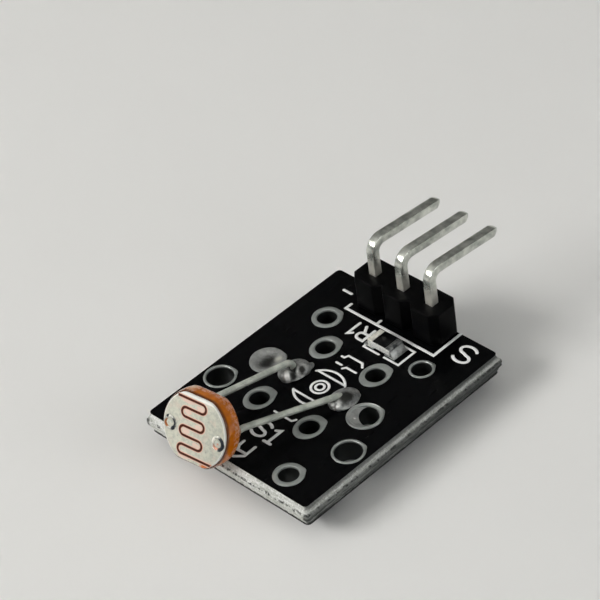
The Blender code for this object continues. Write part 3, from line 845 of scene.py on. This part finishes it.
def bent_pin(node, plate):
    """One pin, drawn up from its lower tip, spun over the bend and drawn out to its upper tip."""
    low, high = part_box(node)
    half = pin_width / 2
    x = (low.x + high.x) / 2
    y = low.y + half
    bend_height = high.z - half - pin_bend_radius
    tip = half * pin_tip_share
    shoulder = half * pin_shoulder_share
    upright = (
        (tip, tip, low.z),
        (shoulder, shoulder, low.z + pin_tip_length / 2),
        (half, half, low.z + pin_tip_length),
        (half, half, bend_height),
    )
    bpy.ops.mesh.primitive_plane_add(size=2 * tip, location=(x, y, low.z))
    pin = bpy.context.object
    pin.name = f"tinned_{node}"
    bpy.ops.object.transform_apply(location=True)
    bpy.ops.object.mode_set(mode="EDIT")
    bpy.ops.mesh.bevel(offset=pin_corner * pin_tip_share, segments=pin_corner_steps, affect="VERTICES")
    bpy.ops.mesh.select_all(action="SELECT")
    bpy.ops.mesh.delete(type="ONLY_FACE")
    bpy.ops.mesh.select_all(action="SELECT")
    draw_rings(upright, (x, y))
    spin_centre = Vector((x, y + pin_bend_radius, bend_height))
    turn = math.pi / 2 + pin_droop
    bpy.ops.mesh.spin(steps=pin_bend_steps, angle=turn, center=spin_centre, axis=(1, 0, 0))
    heading = Vector((0, math.cos(pin_droop), -math.sin(pin_droop)))
    bent = spin_centre + pin_bend_radius * Vector((0, math.sin(pin_droop), math.cos(pin_droop)))
    run = (high.y - tip * math.sin(pin_droop) - bent.y) / heading.y - pin_tip_length
    drawn = (
        (run, 1),
        (pin_tip_length / 2, pin_shoulder_share),
        (pin_tip_length / 2, pin_tip_share / pin_shoulder_share),
    )
    for length, share in drawn:
        bpy.ops.mesh.extrude_region_move(TRANSFORM_OT_translate={"value": heading * length})
        bent += heading * length
        bpy.ops.transform.resize(value=(share, share, share), center_override=bent)
    bpy.ops.mesh.edge_face_add()
    pick("edges", lambda edge: abs(middle(edge).z - low.z) < pin_corner / 10)
    bpy.ops.mesh.edge_face_add()
    end_shaping(smooth_degrees=40)
    hand_over(pin, "pin", plate, node)


plate = rolled_tin()
for side in ("left", "middle", "right"):
    bent_pin(f"header_pin_{side}", plate)


# The photocell: a ceramic disc with two flats, dipped in orange epoxy from behind, so that its face is bare.
# It leans back on its wires over the board's front edge. It is modelled lying down, then set in place.
cell_lean = math.radians(23)
cell_radius = 0.00253
cell_half_height = 0.00227
cell_corner = 0.0003
corner_smoothing = 6
smoothing_share = 0.5
cell_sides = 144
flat_cuts = 20
disc_depth = 0.00105
bead_middle = Vector((0, -0.00002, -0.00018))
resin_profile = (
    (0.0, 0.00012),
    (0.00003, 0.00011),
    (0.00007, 0.00015),
    (0.00010, 0.00024),
    (0.00012, 0.0004),
    (0.00013, 0.00062),
    (0.00013, 0.00085),
    (0.00012, 0.00102),
)
dome_depth = 0.00095
dome_steps = 12
dome_flat_share = 0.4
cup_depth = disc_depth + dome_depth
cup_closing = (0.75, 0.5, 0.25, 0.08)
wire_stub = 0.0005
wire_rise = 0.0004
collar_height = 0.0003
collar_width = 0.00019
sag_grain = 0.0016
sag_depth = 0.00009
shadow_depth = (0.22, 0.46)
bloom_depth = (0.8, 1.3)
resin_orange = (0.66, 0.18, 0.004)
resin_deep = (0.46, 0.10, 0.002)
resin_shadow = (0.045, 0.010, 0.002)
resin_bloom = (0.80, 0.48, 0.36)
# A painted highlight at the upper left of the coat.
resin_highlight = (0.80, 0.50, 0.34)
resin_highlight_spots = ((-1.3, 2.55, 0.9, 0.22, resin_highlight),)

contact_boxes = [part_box(f"sensor_contact_{side}") for side in ("left", "right")]
left_bead, right_bead = ((low + high) / 2 for low, high in contact_boxes)
bead_apart = (right_bead - left_bead).length
cell_turn = math.atan2(right_bead.y - left_bead.y, right_bead.x - left_bead.x)
cell_tilt = Euler((-cell_lean, 0, cell_turn)).to_matrix()
cell_origin = (left_bead + right_bead) / 2 - cell_tilt @ bead_middle
lying = cell_tilt.to_4x4() @ Matrix.Rotation(math.pi / 2, 4, "X")
cell_place = Matrix.Translation(cell_origin) @ lying
bead_places = [Vector((sign * bead_apart / 2, bead_middle.z, 0)) for sign in (-1, 1)]


def cell_finish(name):
    """A finish whose millimetres run across the face, up it and out of it, from its middle."""
    return Finish(name, cell_origin, lying.to_euler())


def start_disc(name, radius, half_height, level):
    """The disc's outline as a selected loop in edit mode: a circle cut by two flats, with soft corners."""
    disc = start_circle(name, ((radius, radius, level),), sides=cell_sides, fill="NGON")
    for sign in (-1, 1):
        bpy.ops.mesh.select_all(action="SELECT")
        edge = {"plane_co": (0, sign * half_height, 0), "plane_no": (0, sign, 0), "clear_outer": True}
        bpy.ops.mesh.bisect(**edge, threshold=0.0000001)
    bpy.ops.mesh.select_all(action="SELECT")
    bpy.ops.mesh.delete(type="ONLY_FACE")
    pick("edges", lambda edge: edge.calc_length() > cell_corner)
    bpy.ops.mesh.subdivide(number_cuts=flat_cuts)
    flat_end = math.sqrt(radius**2 - half_height**2)
    corner = Vector((flat_end, half_height))
    pick("verts", lambda vertex: (Vector(map(abs, vertex.co.xy)) - corner).length < cell_corner)
    bpy.ops.mesh.vertices_smooth(factor=smoothing_share, repeat=corner_smoothing)
    bpy.ops.mesh.select_all(action="SELECT")
    bpy.ops.mesh.edge_face_add()
    return disc


def seat_cell_piece(piece, slot, material, *nodes):
    """Sets a piece that was modelled lying down in its place on the leaning photocell."""
    piece.data.transform(cell_place)
    hand_over(piece, slot, material, *nodes)


def dipped_resin():
    """Clear deep orange with painted shade just behind the face, a milky bloom towards the back and a painted
    highlight.
    """
    resin = cell_finish("dipped_orange_resin")
    depth = 0 - resin.axis("Z")
    clouds = resin.noise(1.1, 4, 0.6)
    runs = resin.noise(2.2, 4, 0.6, resin.stretched(1, 1, 0.45))
    dots = resin.noise(4.2, 4, 0.7)
    front = 1 - resin.rise(depth + 0.12 * runs, *shadow_depth)
    back = resin.rise(depth + 0.5 * clouds, *bloom_depth)
    bloom = back * resin.rise(dots + 0.2 * clouds, 0.54, 0.72)
    body = resin.mix(resin.rise(runs, 0.35, 0.7) * 0.55, resin_orange, resin_deep)
    colour = resin.mix(bloom * 0.7, resin.mix(front * 0.9, body, resin_shadow), resin_bloom)
    clear = {
        "Coat Weight": 0.5,
        "Coat Roughness": 0.12,
        "Subsurface Weight": 0.12,
        "Subsurface Scale": 0.0006,
        "Subsurface Radius": (1.0, 0.35, 0.1),
        "Specular IOR Level": 0.25,
    }
    shape = resin.bump(dots, 0.006, resin.bump(clouds, 0.05))
    return resin.shade(resin.painted(colour, resin_highlight_spots), 0.17 + 0.35 * bloom, shape, clear)


rings = [(cell_radius, cell_half_height, -disc_depth)]
rings += [(cell_radius + out, cell_half_height + out, -depth) for out, depth in resin_profile]
widest, _ = resin_profile[-1]
for step in range(1, dome_steps + 1):
    turn = math.pi / 2 * step / dome_steps
    shrink = 1 - (1 - dome_flat_share) * (1 - math.cos(turn))
    half_x = (cell_radius + widest) * shrink
    half_y = (cell_half_height + widest) * shrink
    rings.append((half_x, half_y, -disc_depth - dome_depth * math.sin(turn)))
flat_x, flat_y, level = rings[-1]
rings += [(flat_x * share, flat_y * share, level) for share in cup_closing]
resin_cup = start_disc("dipped_resin_cup", cell_radius, cell_half_height, -disc_depth)
draw_rings(rings)
bpy.ops.object.mode_set(mode="OBJECT")
apply_modifier(resin_cup, "SUBSURF", levels=1, subdivision_type="SIMPLE")
collar_rise = Vector((0, wire_rise * cup_depth / (cup_depth + wire_stub)))
for vertex in resin_cup.data.vertices:
    if vertex.co.z < -disc_depth:
        for place in bead_places:
            away = (vertex.co.xy - place.xy - collar_rise).length / collar_width
            vertex.co.z -= collar_height * math.exp(-((max(0, away - 1)) ** 2))
roughen(resin_cup, "resin_sags", sag_grain, sag_depth, level=0.5)
bpy.ops.object.mode_set(mode="EDIT")
end_shaping(smooth_degrees=60)
seat_cell_piece(resin_cup, "resin", dipped_resin(), "sensor_resin_coat")


# The disc itself: pressed and fired white ceramic. Its edge stands a hair proud of the resin round the face,
# and it carries the metal film and the track.
disc_top = 0.00004
disc_round = 0.00004
ceramic_white = (0.80, 0.80, 0.76)
ceramic_soiled = (0.50, 0.49, 0.44)


def pressed_ceramic():
    clay = Finish("pressed_ceramic")
    grain = clay.noise(14.0, 4, 0.7)
    soil = clay.rise(clay.noise(1.6, 4, 0.6), 0.45, 0.75)
    grainy = clay.mix(clay.rise(grain, 0.5, 0.8) * 0.4, ceramic_white, ceramic_soiled)
    colour = clay.mix(0.5 * soil, grainy, ceramic_soiled)
    return clay.shade(colour, 0.5 + 0.2 * grain, clay.bump(grain, 0.004))


def rounded_disc(name, inset, foot, top, rounding):
    """A closed slab of the disc's outline, this much smaller all round, with a rounded upper edge."""
    radius = cell_radius - inset
    half_height = cell_half_height - inset
    rings = [(radius, half_height, foot)]
    for inward, drop in ((0, rounding), (rounding / 3, rounding / 3), (rounding, 0)):
        rings.append((radius - inward, half_height - inward, top - drop))
    slab = start_disc(name, radius, half_height, foot)
    draw_rings(rings)
    end_shaping()
    return slab


disc = rounded_disc("ceramic_disc", 0, -disc_depth, -disc_top, disc_round)
seat_cell_piece(disc, "ceramic", pressed_ceramic(), "sensor_ceramic_base")


# The face: two comb-shaped metal films on the ceramic under clear varnish, which fills the comb's gaps level.
# The film is made as one sheet, because the winding track covers the gap between the two combs.
film_inset = 0.00003
film_round = 0.000025
# Painted highlights: a band round the face's rim, and a strip above the first stroke.
film_highlight_rim = (2.40, 2.5)
first_stroke = 0.00192
highlight_above_stroke = (0.11, 0.24)
face_cream = (0.62, 0.62, 0.52)
face_grey = (0.37, 0.39, 0.34)
face_pink = (0.66, 0.50, 0.42)
face_flush = (0.74, 0.56, 0.47)
# The colour of the painted highlights.
face_highlight = (0.92, 0.92, 0.89)
face_speck = (0.20, 0.18, 0.14)
face_spill = (0.55, 0.13, 0.01)
face_spots = (
    (1.45, -2.12, 0.74, 0.42, face_spill),
    (-0.7, 1.72, 0.6, 0.14, face_flush),
    (0.3, 1.56, 0.36, 0.2, face_flush),
    (-0.62, 1.02, 0.34, 0.2, face_flush),
    (0.3, 0.28, 0.36, 0.18, face_flush),
    (-0.62, -0.3, 0.34, 0.2, face_flush),
    (0.28, -0.98, 0.36, 0.2, face_flush),
    (-0.6, -2.06, 0.5, 0.12, face_flush),
)


def varnished_film():
    """Cream film gone grey and pink in clouds, grit in the varnish, and painted highlights at its rim and
    upper edge.
    """
    film = cell_finish("varnished_comb_film")
    clouds = film.noise(0.9, 3, 0.55)
    mottle = film.noise(3.4, 5, 0.75)
    grit = film.specks(4.2, 0.04 + 0.2 * film.rise(mottle, 0.5, 0.7))
    flush = film.rise(film.noise(1.5, 3, 0.6), 0.5, 0.68)
    strip_edges = (first_stroke * 1000 + above for above in highlight_above_stroke)
    top_highlight_strip = film.rise(film.axis("Y") + 0.05 * mottle, *strip_edges)
    rim = film.rise(film.length(film.stretched(1, 1, 0)), *film_highlight_rim)
    shade = film.rise(clouds + 0.12 * film.axis("X"), 0.42, 0.85)
    base = film.mix(film.rise(mottle, 0.4, 0.64) * 0.6 + 0.3 * shade, face_cream, face_grey)
    base = film.mix(flush * 0.35, base, face_pink)
    dusty = film.mix(grit * 0.55, base, face_speck)
    colour = film.mix(0.8 * top_highlight_strip, film.mix(0.8 * rim, dusty, face_highlight), face_highlight)
    colour = film.painted(colour, face_spots)
    shape = film.bump(mottle, 0.006, film.bump(clouds, 0.03))
    return film.shade(colour, 0.3 + 0.12 * mottle, shape, {"Coat Weight": 0.35})


film = rounded_disc("varnished_face", film_inset, -disc_top, 0, film_round)
seat_cell_piece(film, "electrode", varnished_film(), "sensor_electrode_left", "sensor_electrode_right")


# The light track: cadmium sulphide printed as one winding line from rim to rim of the face. Its thick middle
# is dark, and its thin edges are pink.
stroke_count = 7
stroke_pitch = 0.000635
right_turn = 0.00043
left_turn = 0.0008
track_half = 0.00015
track_height = 0.000022
track_steps = 14
track_section = (
    (-1.0, 0.0),
    (-0.8, 0.3),
    (-0.56, 0.62),
    (-0.42, 0.9),
    (0.0, 1.0),
    (0.42, 0.9),
    (0.56, 0.62),
    (0.8, 0.3),
    (1.0, 0.0),
)
track_dark = (0.04, 0.006, 0.001)
track_brown = (0.11, 0.02, 0.003)
track_pink = (0.72, 0.40, 0.31)


def sulphide():
    line = cell_finish("printed_sulphide")
    height = line.axis("Z") * (1 / (track_height * 1000))
    mottle = line.noise(9.0, 4, 0.7)
    rough_edge = height + 0.3 * (mottle - 0.5)
    pink = line.rise(rough_edge, 0.05, 0.34)
    dark = line.rise(rough_edge, 0.5, 0.78)
    core = line.mix(line.rise(mottle, 0.4, 0.7), track_dark, track_brown)
    colour = line.mix(dark, line.mix(pink, face_cream, track_pink), core)
    return line.shade(colour, 0.4 + 0.2 * mottle, others={"Specular IOR Level": 0.2})


def rim_reach(level):
    """How far a stroke at this height on the face reaches to either side."""
    return math.sqrt((cell_radius - film_inset - film_round) ** 2 - level**2)


here = -rim_reach(first_stroke)
bpy.ops.mesh.primitive_plane_add(size=2 * track_half, location=(0, 0, 0))
track = bpy.context.object
track.name = "light_track"
bpy.ops.object.mode_set(mode="EDIT")
pick("verts", lambda vertex: vertex.co.x > 0)
bpy.ops.mesh.delete(type="VERT")
bpy.ops.mesh.select_all(action="SELECT")
bpy.ops.mesh.subdivide(number_cuts=len(track_section) - 2)
shape = bmesh.from_edit_mesh(track.data)
row = sorted(shape.verts, key=lambda vertex: vertex.co.y)
for vertex, (across, rise) in zip(row, track_section):
    vertex.co = (here, first_stroke + across * track_half, rise * track_height)
bmesh.update_edit_mesh(track.data)
bpy.ops.mesh.select_all(action="SELECT")
for turn in range(stroke_count):
    level = first_stroke - turn * stroke_pitch
    to_right = turn % 2 == 0
    last = turn == stroke_count - 1
    there = rim_reach(level) if last else right_turn if to_right else -left_turn
    bpy.ops.mesh.extrude_region_move(TRANSFORM_OT_translate={"value": (there - here, 0, 0)})
    here = there
    if not last:
        centre = (there, level - stroke_pitch / 2, 0)
        axis = (0, 0, 1 if to_right else -1)
        bpy.ops.mesh.spin(steps=track_steps, angle=math.pi, center=centre, axis=axis)
end_shaping(smooth_degrees=80)
seat_cell_piece(track, "track", sulphide(), "sensor_light_track")


# The contacts: beads of conductive solder over the two wire ends, sunk in the middle where the wire shows.
# Each joins one of the two metal films to its wire.
bead_profile = (
    (0.00054, -0.00001),
    (0.00052, 0.00002),
    (0.00047, 0.00005),
    (0.0004, 0.00007),
    (0.00034, 0.00006),
    (0.00029, 0.00001),
    (0.00024, -0.00006),
    (0.00018, -0.00008),
    (0.00013, -0.00003),
    (0.00007, 0.0),
    (0.00001, 0.00001),
)
bead_sides = 40
dent_grain = 0.0004
dent_depth = 0.00005
bead_silver = (0.56, 0.56, 0.50)
bead_dull = (0.22, 0.23, 0.22)
# Painted light on the beads: a dark reflection along one side, and cream highlights.
bead_dark_reflection = (0.012, 0.017, 0.026)
bead_rust = (0.36, 0.12, 0.03)
bead_highlight = (0.95, 0.92, 0.82)
bead_peach = (0.62, 0.30, 0.20)
bead_stains_and_painted_light = {
    "left": (
        (0.3, -0.04, 0.21, 0.52, bead_dark_reflection),
        (-0.24, 0.42, 0.12, 0.14, bead_dark_reflection),
        (-0.2, -0.06, 0.22, 0.32, bead_rust),
        (0.06, 0.06, 0.12, 0.32, bead_highlight),
    ),
    "right": (
        (0.27, 0.0, 0.34, 0.66, bead_dark_reflection),
        (-0.2, -0.42, 0.34, 0.13, bead_highlight),
        (-0.08, -0.14, 0.24, 0.36, bead_peach),
        (-0.3, 0.16, 0.12, 0.28, bead_highlight),
    ),
}


def bead_metal(side, place):
    """Dull solder round the wire's end: flux stains in the pit, painted highlights, a painted dark reflection
    on one side.
    """
    metal = cell_finish(f"stained_bead_with_painted_light_{side}")
    patches = metal.noise(2.4, 4, 0.65)
    grain = metal.noise(8.0, 3, 0.6)
    colour = metal.mix(metal.rise(grain, 0.4, 0.7) * 0.7, bead_silver, bead_dull)
    colour = metal.painted(colour, bead_stains_and_painted_light[side], place.xy * 1000)
    shape = metal.bump(grain, 0.012, metal.bump(patches, 0.03))
    return metal.shade(colour, 0.34 + 0.2 * grain, shape, {"Metallic": 0.45})


for side, place in zip(("left", "right"), bead_places):
    rings = [(radius, radius, level) for radius, level in bead_profile]
    bead = start_circle(f"bead_{side}", rings, place.xy, bead_sides)
    bpy.ops.mesh.edge_face_add()
    draw_rings(rings, place.xy)
    bpy.ops.object.mode_set(mode="OBJECT")
    roughen(bead, f"bead_dents_{side}", dent_grain, dent_depth, level=0.5)
    bpy.ops.object.mode_set(mode="EDIT")
    end_shaping(smooth_degrees=80)
    seat_cell_piece(bead, "solder", bead_metal(side, place), f"sensor_contact_{side}")


# The two wires: tinned copper, matt with handling. Each runs from its bead back through the disc, bends down
# behind it and goes down through its hole to a short tail below the board.
wire_radius = 0.00022
wire_facets = 7
wire_heights = (0.00095, 0.00052)
wire_bend_radius = 0.0006
wire_bend_steps = 14
wire_pale = (0.68, 0.71, 0.64)
wire_dull = (0.44, 0.47, 0.42)


def handled_wire():
    wire = Finish("handled_tinned_wire")
    grain = wire.noise(13.0, 4, 0.75)
    smears = wire.noise(1.3, 4, 0.6)
    colour = wire.mix(wire.rise(smears + 0.3 * grain, 0.48, 0.85), wire_pale, wire_dull)
    return wire.shade(colour, 0.5 + 0.2 * grain, wire.bump(grain, 0.009), {"Metallic": 0.4})


def rounded_route(corners, radius, steps):
    """A centre line of straight runs between the corners, with an arc of this radius at each inner one."""
    points = [corners[0]]
    for before, corner, after in zip(corners, corners[1:], corners[2:]):
        coming = (corner - before).normalized()
        going = (after - corner).normalized()
        turn = coming.angle(going)
        inward = (going - coming * coming.dot(going)).normalized()
        centre = corner - coming * radius * math.tan(turn / 2) + inward * radius
        for step in range(steps + 1):
            a = turn * step / steps
            points.append(centre - inward * radius * math.cos(a) + coming * radius * math.sin(a))
    points.append(corners[-1])
    return points


def bent_wire(side, bead_place, height, finish):
    """One wire, whose run behind the disc meets the line of its hole at this height over the board."""
    hole, _, _, _ = hole_of(f"lead_hole_{side}")
    corners = [
        cell_place @ bead_place,
        cell_place @ (bead_place + Vector((0, wire_rise, -(cup_depth + wire_stub)))),
        Vector((hole.x, hole.y, board_high.z + height)),
        Vector((hole.x, hole.y, cad_low.z)),
    ]
    route = [(place, 1) for place in rounded_route(corners, wire_bend_radius, wire_bend_steps)]
    wire = drawn_tubes(f"wire_{side}", wire_radius, wire_facets, [route])
    bpy.ops.object.shade_smooth_by_angle(angle=math.radians(40))
    hand_over(wire, "lead", finish, f"sensor_lead_{side}")


wire_finish = handled_wire()
for side, place, height in zip(("left", "right"), bead_places, wire_heights):
    bent_wire(side, place, height, wire_finish)


# The joints of the two wires: hand-soldered, each a lumpy mound on its upper pad, a plug in its hole and a
# cone below the board. Its balls are run together and smoothed until they flow into each other and the pad.
joint_grain = 0.000028
joint_smoothing = 14
lobe_sides = 32
lobe_rings = 20
plug_sides = 48
plug_share = 0.98
tail_share = 1.15
cone_shares = ((0.0, 0.96), (0.18, 0.72), (0.42, 0.52), (0.7, 0.38))
joint_lobes = {
    "left": (
        ((0.0, 0.0, 0.00004), (0.00098, 0.0012, 0.0002)),
        ((0.00014, -0.00072, 0.00012), (0.00052, 0.00052, 0.00048)),
        ((0.00034, 0.00036, 0.0001), (0.00064, 0.0007, 0.00044)),
        ((0.00056, 0.00092, 0.00004), (0.00026, 0.00036, 0.00018)),
    ),
    "right": (
        ((0.0, 0.0, 0.00004), (0.00096, 0.00118, 0.0002)),
        ((0.00004, 0.0, 0.0001), (0.0008, 0.00096, 0.00048)),
        ((-0.0001, -0.00088, 0.00006), (0.0003, 0.0003, 0.00028)),
        ((0.0003, -0.0008, 0.00006), (0.0003, 0.0003, 0.00028)),
    ),
}
solder_bright = (0.46, 0.47, 0.46)
solder_mottled = (0.10, 0.105, 0.10)
# Dark spots: flux, and painted shade between the lobes and in the hollow of the left skin.
solder_flux_and_shade = (0.03, 0.03, 0.028)
# Painted highlights on the joints and the right skin.
solder_highlight = (0.95, 0.95, 0.93)
joint_spots = {
    "left": (
        (-0.44, 0.22, 0.5, 0.44, solder_flux_and_shade),
        (-0.06, -0.06, 0.44, 0.4, solder_flux_and_shade),
        (0.24, -0.32, 0.34, 0.34, solder_flux_and_shade),
        (0.7, 0.1, 0.3, 0.3, solder_flux_and_shade),
        (0.6, -0.62, 0.26, 0.34, solder_flux_and_shade),
        (0.16, -0.8, 0.2, 0.22, solder_highlight),
        (0.32, -0.92, 0.22, 0.22, solder_highlight),
        (0.46, -1.02, 0.2, 0.2, solder_highlight),
    ),
    "right": (
        (0.36, -0.1, 0.66, 0.7, solder_flux_and_shade),
        (-0.06, -0.98, 0.17, 0.17, solder_highlight),
        (0.34, -0.86, 0.17, 0.17, solder_highlight),
    ),
}


def hand_solder(name, middle=(0, 0, 0), spots=(), mottling=0.6, core=0.4):
    """Tin alloy that froze in crystals, with dark spots of flux and of painted shade, and painted highlights.
    """
    alloy = Finish(name, middle)
    crystals = alloy.noise(3.6, 4, 0.65)
    patches = alloy.noise(1.5, 3, 0.6)
    mottled = mottling * alloy.rise(crystals * 0.6 + patches * 0.5, 0.46, 0.66)
    colour = alloy.painted(alloy.mix(mottled, solder_bright, solder_mottled), spots, core=core)
    shape = alloy.bump(crystals, 0.02, alloy.bump(patches, 0.05))
    return alloy.shade(colour, 0.3 + 0.25 * crystals, shape, {"Metallic": 0.7})


def solder_joint(side):
    """Balls over the pad, a plug through the hole and a cone round the tail, run together into one joint."""
    hole, bore, half_x, _ = hole_of(f"lead_hole_{side}")
    low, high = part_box(f"lead_hole_{side}")
    cone_height = low.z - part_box(f"sensor_solder_{side}")[0].z
    drops = []
    for (x, y, z), half in joint_lobes[side]:
        bpy.ops.mesh.primitive_uv_sphere_add(segments=lobe_sides, ring_count=lobe_rings, radius=1)
        drops.append(bpy.context.object)
        bpy.context.object.scale = half
        bpy.context.object.location = (hole.x + x, hole.y + y, high.z + z)
    plug_middle = (hole.x, hole.y, (low.z + high.z) / 2)
    plug_size = {"radius": bore * plug_share, "depth": high.z - low.z}
    bpy.ops.mesh.primitive_cylinder_add(vertices=plug_sides, **plug_size, location=plug_middle)
    drops.append(bpy.context.object)
    for share, radius in cone_shares:
        length = cone_height * (1 - share)
        bpy.ops.mesh.primitive_cone_add(
            vertices=plug_sides,
            radius1=wire_radius * tail_share,
            radius2=half_x * radius,
            depth=length,
            location=(hole.x, hole.y, low.z - cone_height * share - length / 2),
        )
        drops.append(bpy.context.object)
    joint, *others = drops
    select_only(joint, *others)
    bpy.ops.object.join()
    bpy.ops.object.transform_apply(location=True, rotation=True, scale=True)
    joint.name = f"joint_{side}"
    apply_modifier(joint, "REMESH", mode="VOXEL", voxel_size=joint_grain)
    apply_modifier(joint, "SMOOTH", factor=0.5, iterations=joint_smoothing)
    bpy.ops.object.mode_set(mode="EDIT")
    end_shaping(smooth_degrees=80)
    finish = hand_solder(f"hand_solder_{side}", hole, joint_spots[side])
    hand_over(joint, "solder", finish, f"sensor_solder_{side}")


for side in ("left", "right"):
    solder_joint(side)


# The overflow: while they were soldered, both joints ran over into the wide holes beside them.
# The left hole is skinned over from rim to rim. The right one is open towards the header, and its skin is a
# crescent on the side of the joint that it came from.
skin_height = 0.00003
skin_sag = 0.00022
skin_steps = 14
skin_share = 0.97
skin_thickness = 0.00004
skin_opening = 0.77
skin_squeeze = 0.28
skin_shift = 0.00027
skin_direction = math.radians(50.5)
skin_heading = Vector((math.cos(skin_direction), math.sin(skin_direction)))
skin_mottling = 0.3
skin_core = 0.1
# A painted highlight on the left skin.
skin_highlight = (0.62, 0.62, 0.56)
skin_grey = (0.30, 0.31, 0.30)
# The left skin carries painted shade in its hollow and a painted highlight; the right one a painted highlight
# and a grey patch.
skin_spots = {
    "left": (
        (-0.02, 0.06, 0.7, 1.1, solder_flux_and_shade),
        (0.16, -0.24, 0.6, 0.66, solder_flux_and_shade),
        (0.5, 0.56, 0.4, 0.4, skin_highlight),
    ),
    "right": (
        (-0.42, -0.52, 0.13, 0.13, solder_highlight),
        (-0.1, 0.42, 0.3, 0.3, skin_grey),
    ),
}


def solder_skin(side, opening=0.02, shift=0.0, squeeze=0.0):
    """Solder across a wide hole and its pad, sagging in the middle, with an opening of that share of the pad.

    The opening stays open only where it is shifted along the heading. It can be squeezed along it too.
    """
    hole, bore, half_x, half_y = hole_of(f"wide_hole_{side}")
    _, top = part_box(f"wide_hole_{side}")
    rings = []
    for step in range(skin_steps + 1):
        share = skin_share + (opening - skin_share) * step / skin_steps
        inward = max(0, 1 - (share * half_x / bore) ** 2)
        brim = math.sqrt(max(0, 1 - share**4))
        rings.append((half_x * share, half_y * share, top.z + skin_height * brim - skin_sag * inward))
    skin = start_circle(f"skin_{side}", rings, hole.xy, pad_sides)
    draw_rings(rings, hole.xy)
    if not shift:
        bpy.ops.mesh.edge_face_add()
    bpy.ops.object.mode_set(mode="OBJECT")
    for vertex in skin.data.vertices:
        out = vertex.co.xy - hole.xy
        inward = (skin_share - out.length / half_x) / (skin_share - opening)
        vertex.co.xy += skin_heading * inward * (shift - squeeze * out.dot(skin_heading))
        vertex.co.z -= skin_sag * inward if shift else 0
    apply_modifier(skin, "SOLIDIFY", thickness=skin_thickness, offset=-1)
    bpy.ops.object.mode_set(mode="EDIT")
    end_shaping(smooth_degrees=60)
    finish = hand_solder(f"solder_skin_{side}", hole, skin_spots[side], skin_mottling, skin_core)
    hand_over(skin, "solder", finish)


solder_skin("left")
solder_skin("right", skin_opening, skin_shift, skin_squeeze)


# The chip resistor: a white ceramic block with black glass glaze on top and tinned caps round its ends.
# It lies across the board on two lands, and solder climbs up both of its ends.
chip_round = 0.00003
cap_round = 0.00003
glaze_round = 0.00002
chip_white = (0.74, 0.75, 0.72)
chip_grey = (0.45, 0.46, 0.45)
glaze_black = (0.003, 0.003, 0.0033)
glaze_grey = (0.02, 0.02, 0.02)
# Painted light on the caps: the left one's colours are a lit copy of the tin, the right one's a shaded copy.
cap_lit_and_shaded_tints = {
    "left": ((0.96, 0.94, 0.84), (0.66, 0.65, 0.58), 0.3),
    "right": ((0.34, 0.35, 0.35), (0.07, 0.075, 0.08), 0.85),
}


def chip_ceramic():
    body = Finish("chip_ceramic")
    grain = body.noise(11.0, 4, 0.65)
    colour = body.mix(body.rise(grain, 0.42, 0.7), chip_white, chip_grey)
    return body.shade(colour, 0.42 + 0.2 * grain, body.bump(grain, 0.006))


def glass_glaze():
    glass = Finish("glass_glaze")
    ripple = glass.noise(3.4, 2)
    colour = glass.mix(glass.specks(6.0, 0.1), glaze_black, glaze_grey)
    shape = glass.bump(ripple, 0.02)
    return glass.shade(colour, 0.12 + 0.1 * ripple, shape, {"Specular IOR Level": 0.15})


def dipped_cap(side):
    """Tin run over the chip's end: matt, painted pale as if lit, on the left; bright, painted dark as shade,
    on the right.
    """
    pale, dull, metallic = cap_lit_and_shaded_tints[side]
    cap = Finish(f"dipped_cap_{side}")
    grain = cap.noise(9.0, 4, 0.7)
    pools = cap.noise(2.6, 3, 0.6)
    colour = cap.mix(cap.rise(pools, 0.42, 0.62), pale, dull)
    shape = cap.bump(grain, 0.008, cap.bump(pools, 0.03))
    return cap.shade(colour, 0.24 + 0.2 * grain, shape, {"Metallic": metallic})


def chip_piece(node, name, width, slot, material, steps=2):
    piece = copy_of(node, name)
    round_edges(piece, width, steps)
    hand_over(piece, slot, material, node)


solder = hand_solder("machine_solder")
chip_piece("resistor_body", "chip_body", chip_round, "ceramic", chip_ceramic(), 3)
chip_piece("resistor_glaze", "chip_glaze", glaze_round, "glaze", glass_glaze(), 3)
for side in ("left", "right"):
    chip_piece(f"resistor_cap_{side}", f"chip_cap_{side}", cap_round, "tin", dipped_cap(side))
    chip_piece(f"resistor_land_{side}", f"chip_land_{side}", cap_round / 2, "tin", tin)
    chip_piece(f"resistor_solder_{side}", f"chip_fillet_{side}", cap_round, "solder", solder)


# The joints of the three pins below the board: machine-soldered, each a smooth hollow cone up to the tail's
# side. The solder fills the hole round the pin as well.
pin_joint_sides = 48
pin_joint_steps = 9
pin_joint_hollow = 1.8
for side in ("left", "middle", "right"):
    node = f"header_solder_{side}"
    hole, bore, half_x, _ = hole_of(f"header_hole_{side}")
    low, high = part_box(node)
    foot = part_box(f"header_hole_{side}")[0].z
    collar = pin_width / 2 * math.sqrt(2)
    rings = [(bore, bore, high.z), (bore, bore, foot), (half_x, half_x, foot)]
    for step in range(1, pin_joint_steps + 1):
        share = step / pin_joint_steps
        radius = collar + (half_x - collar) * (1 - share) ** pin_joint_hollow
        rings.append((radius, radius, foot - (foot - low.z) * share))
    joint = start_circle(f"pin_joint_{side}", rings, hole.xy, pin_joint_sides, "NGON")
    draw_rings(rings, hole.xy)
    bpy.ops.mesh.edge_face_add()
    end_shaping(smooth_degrees=40)
    hand_over(joint, "solder", solder, node)


# What the visual model measures, and the end of the script.
low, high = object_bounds()
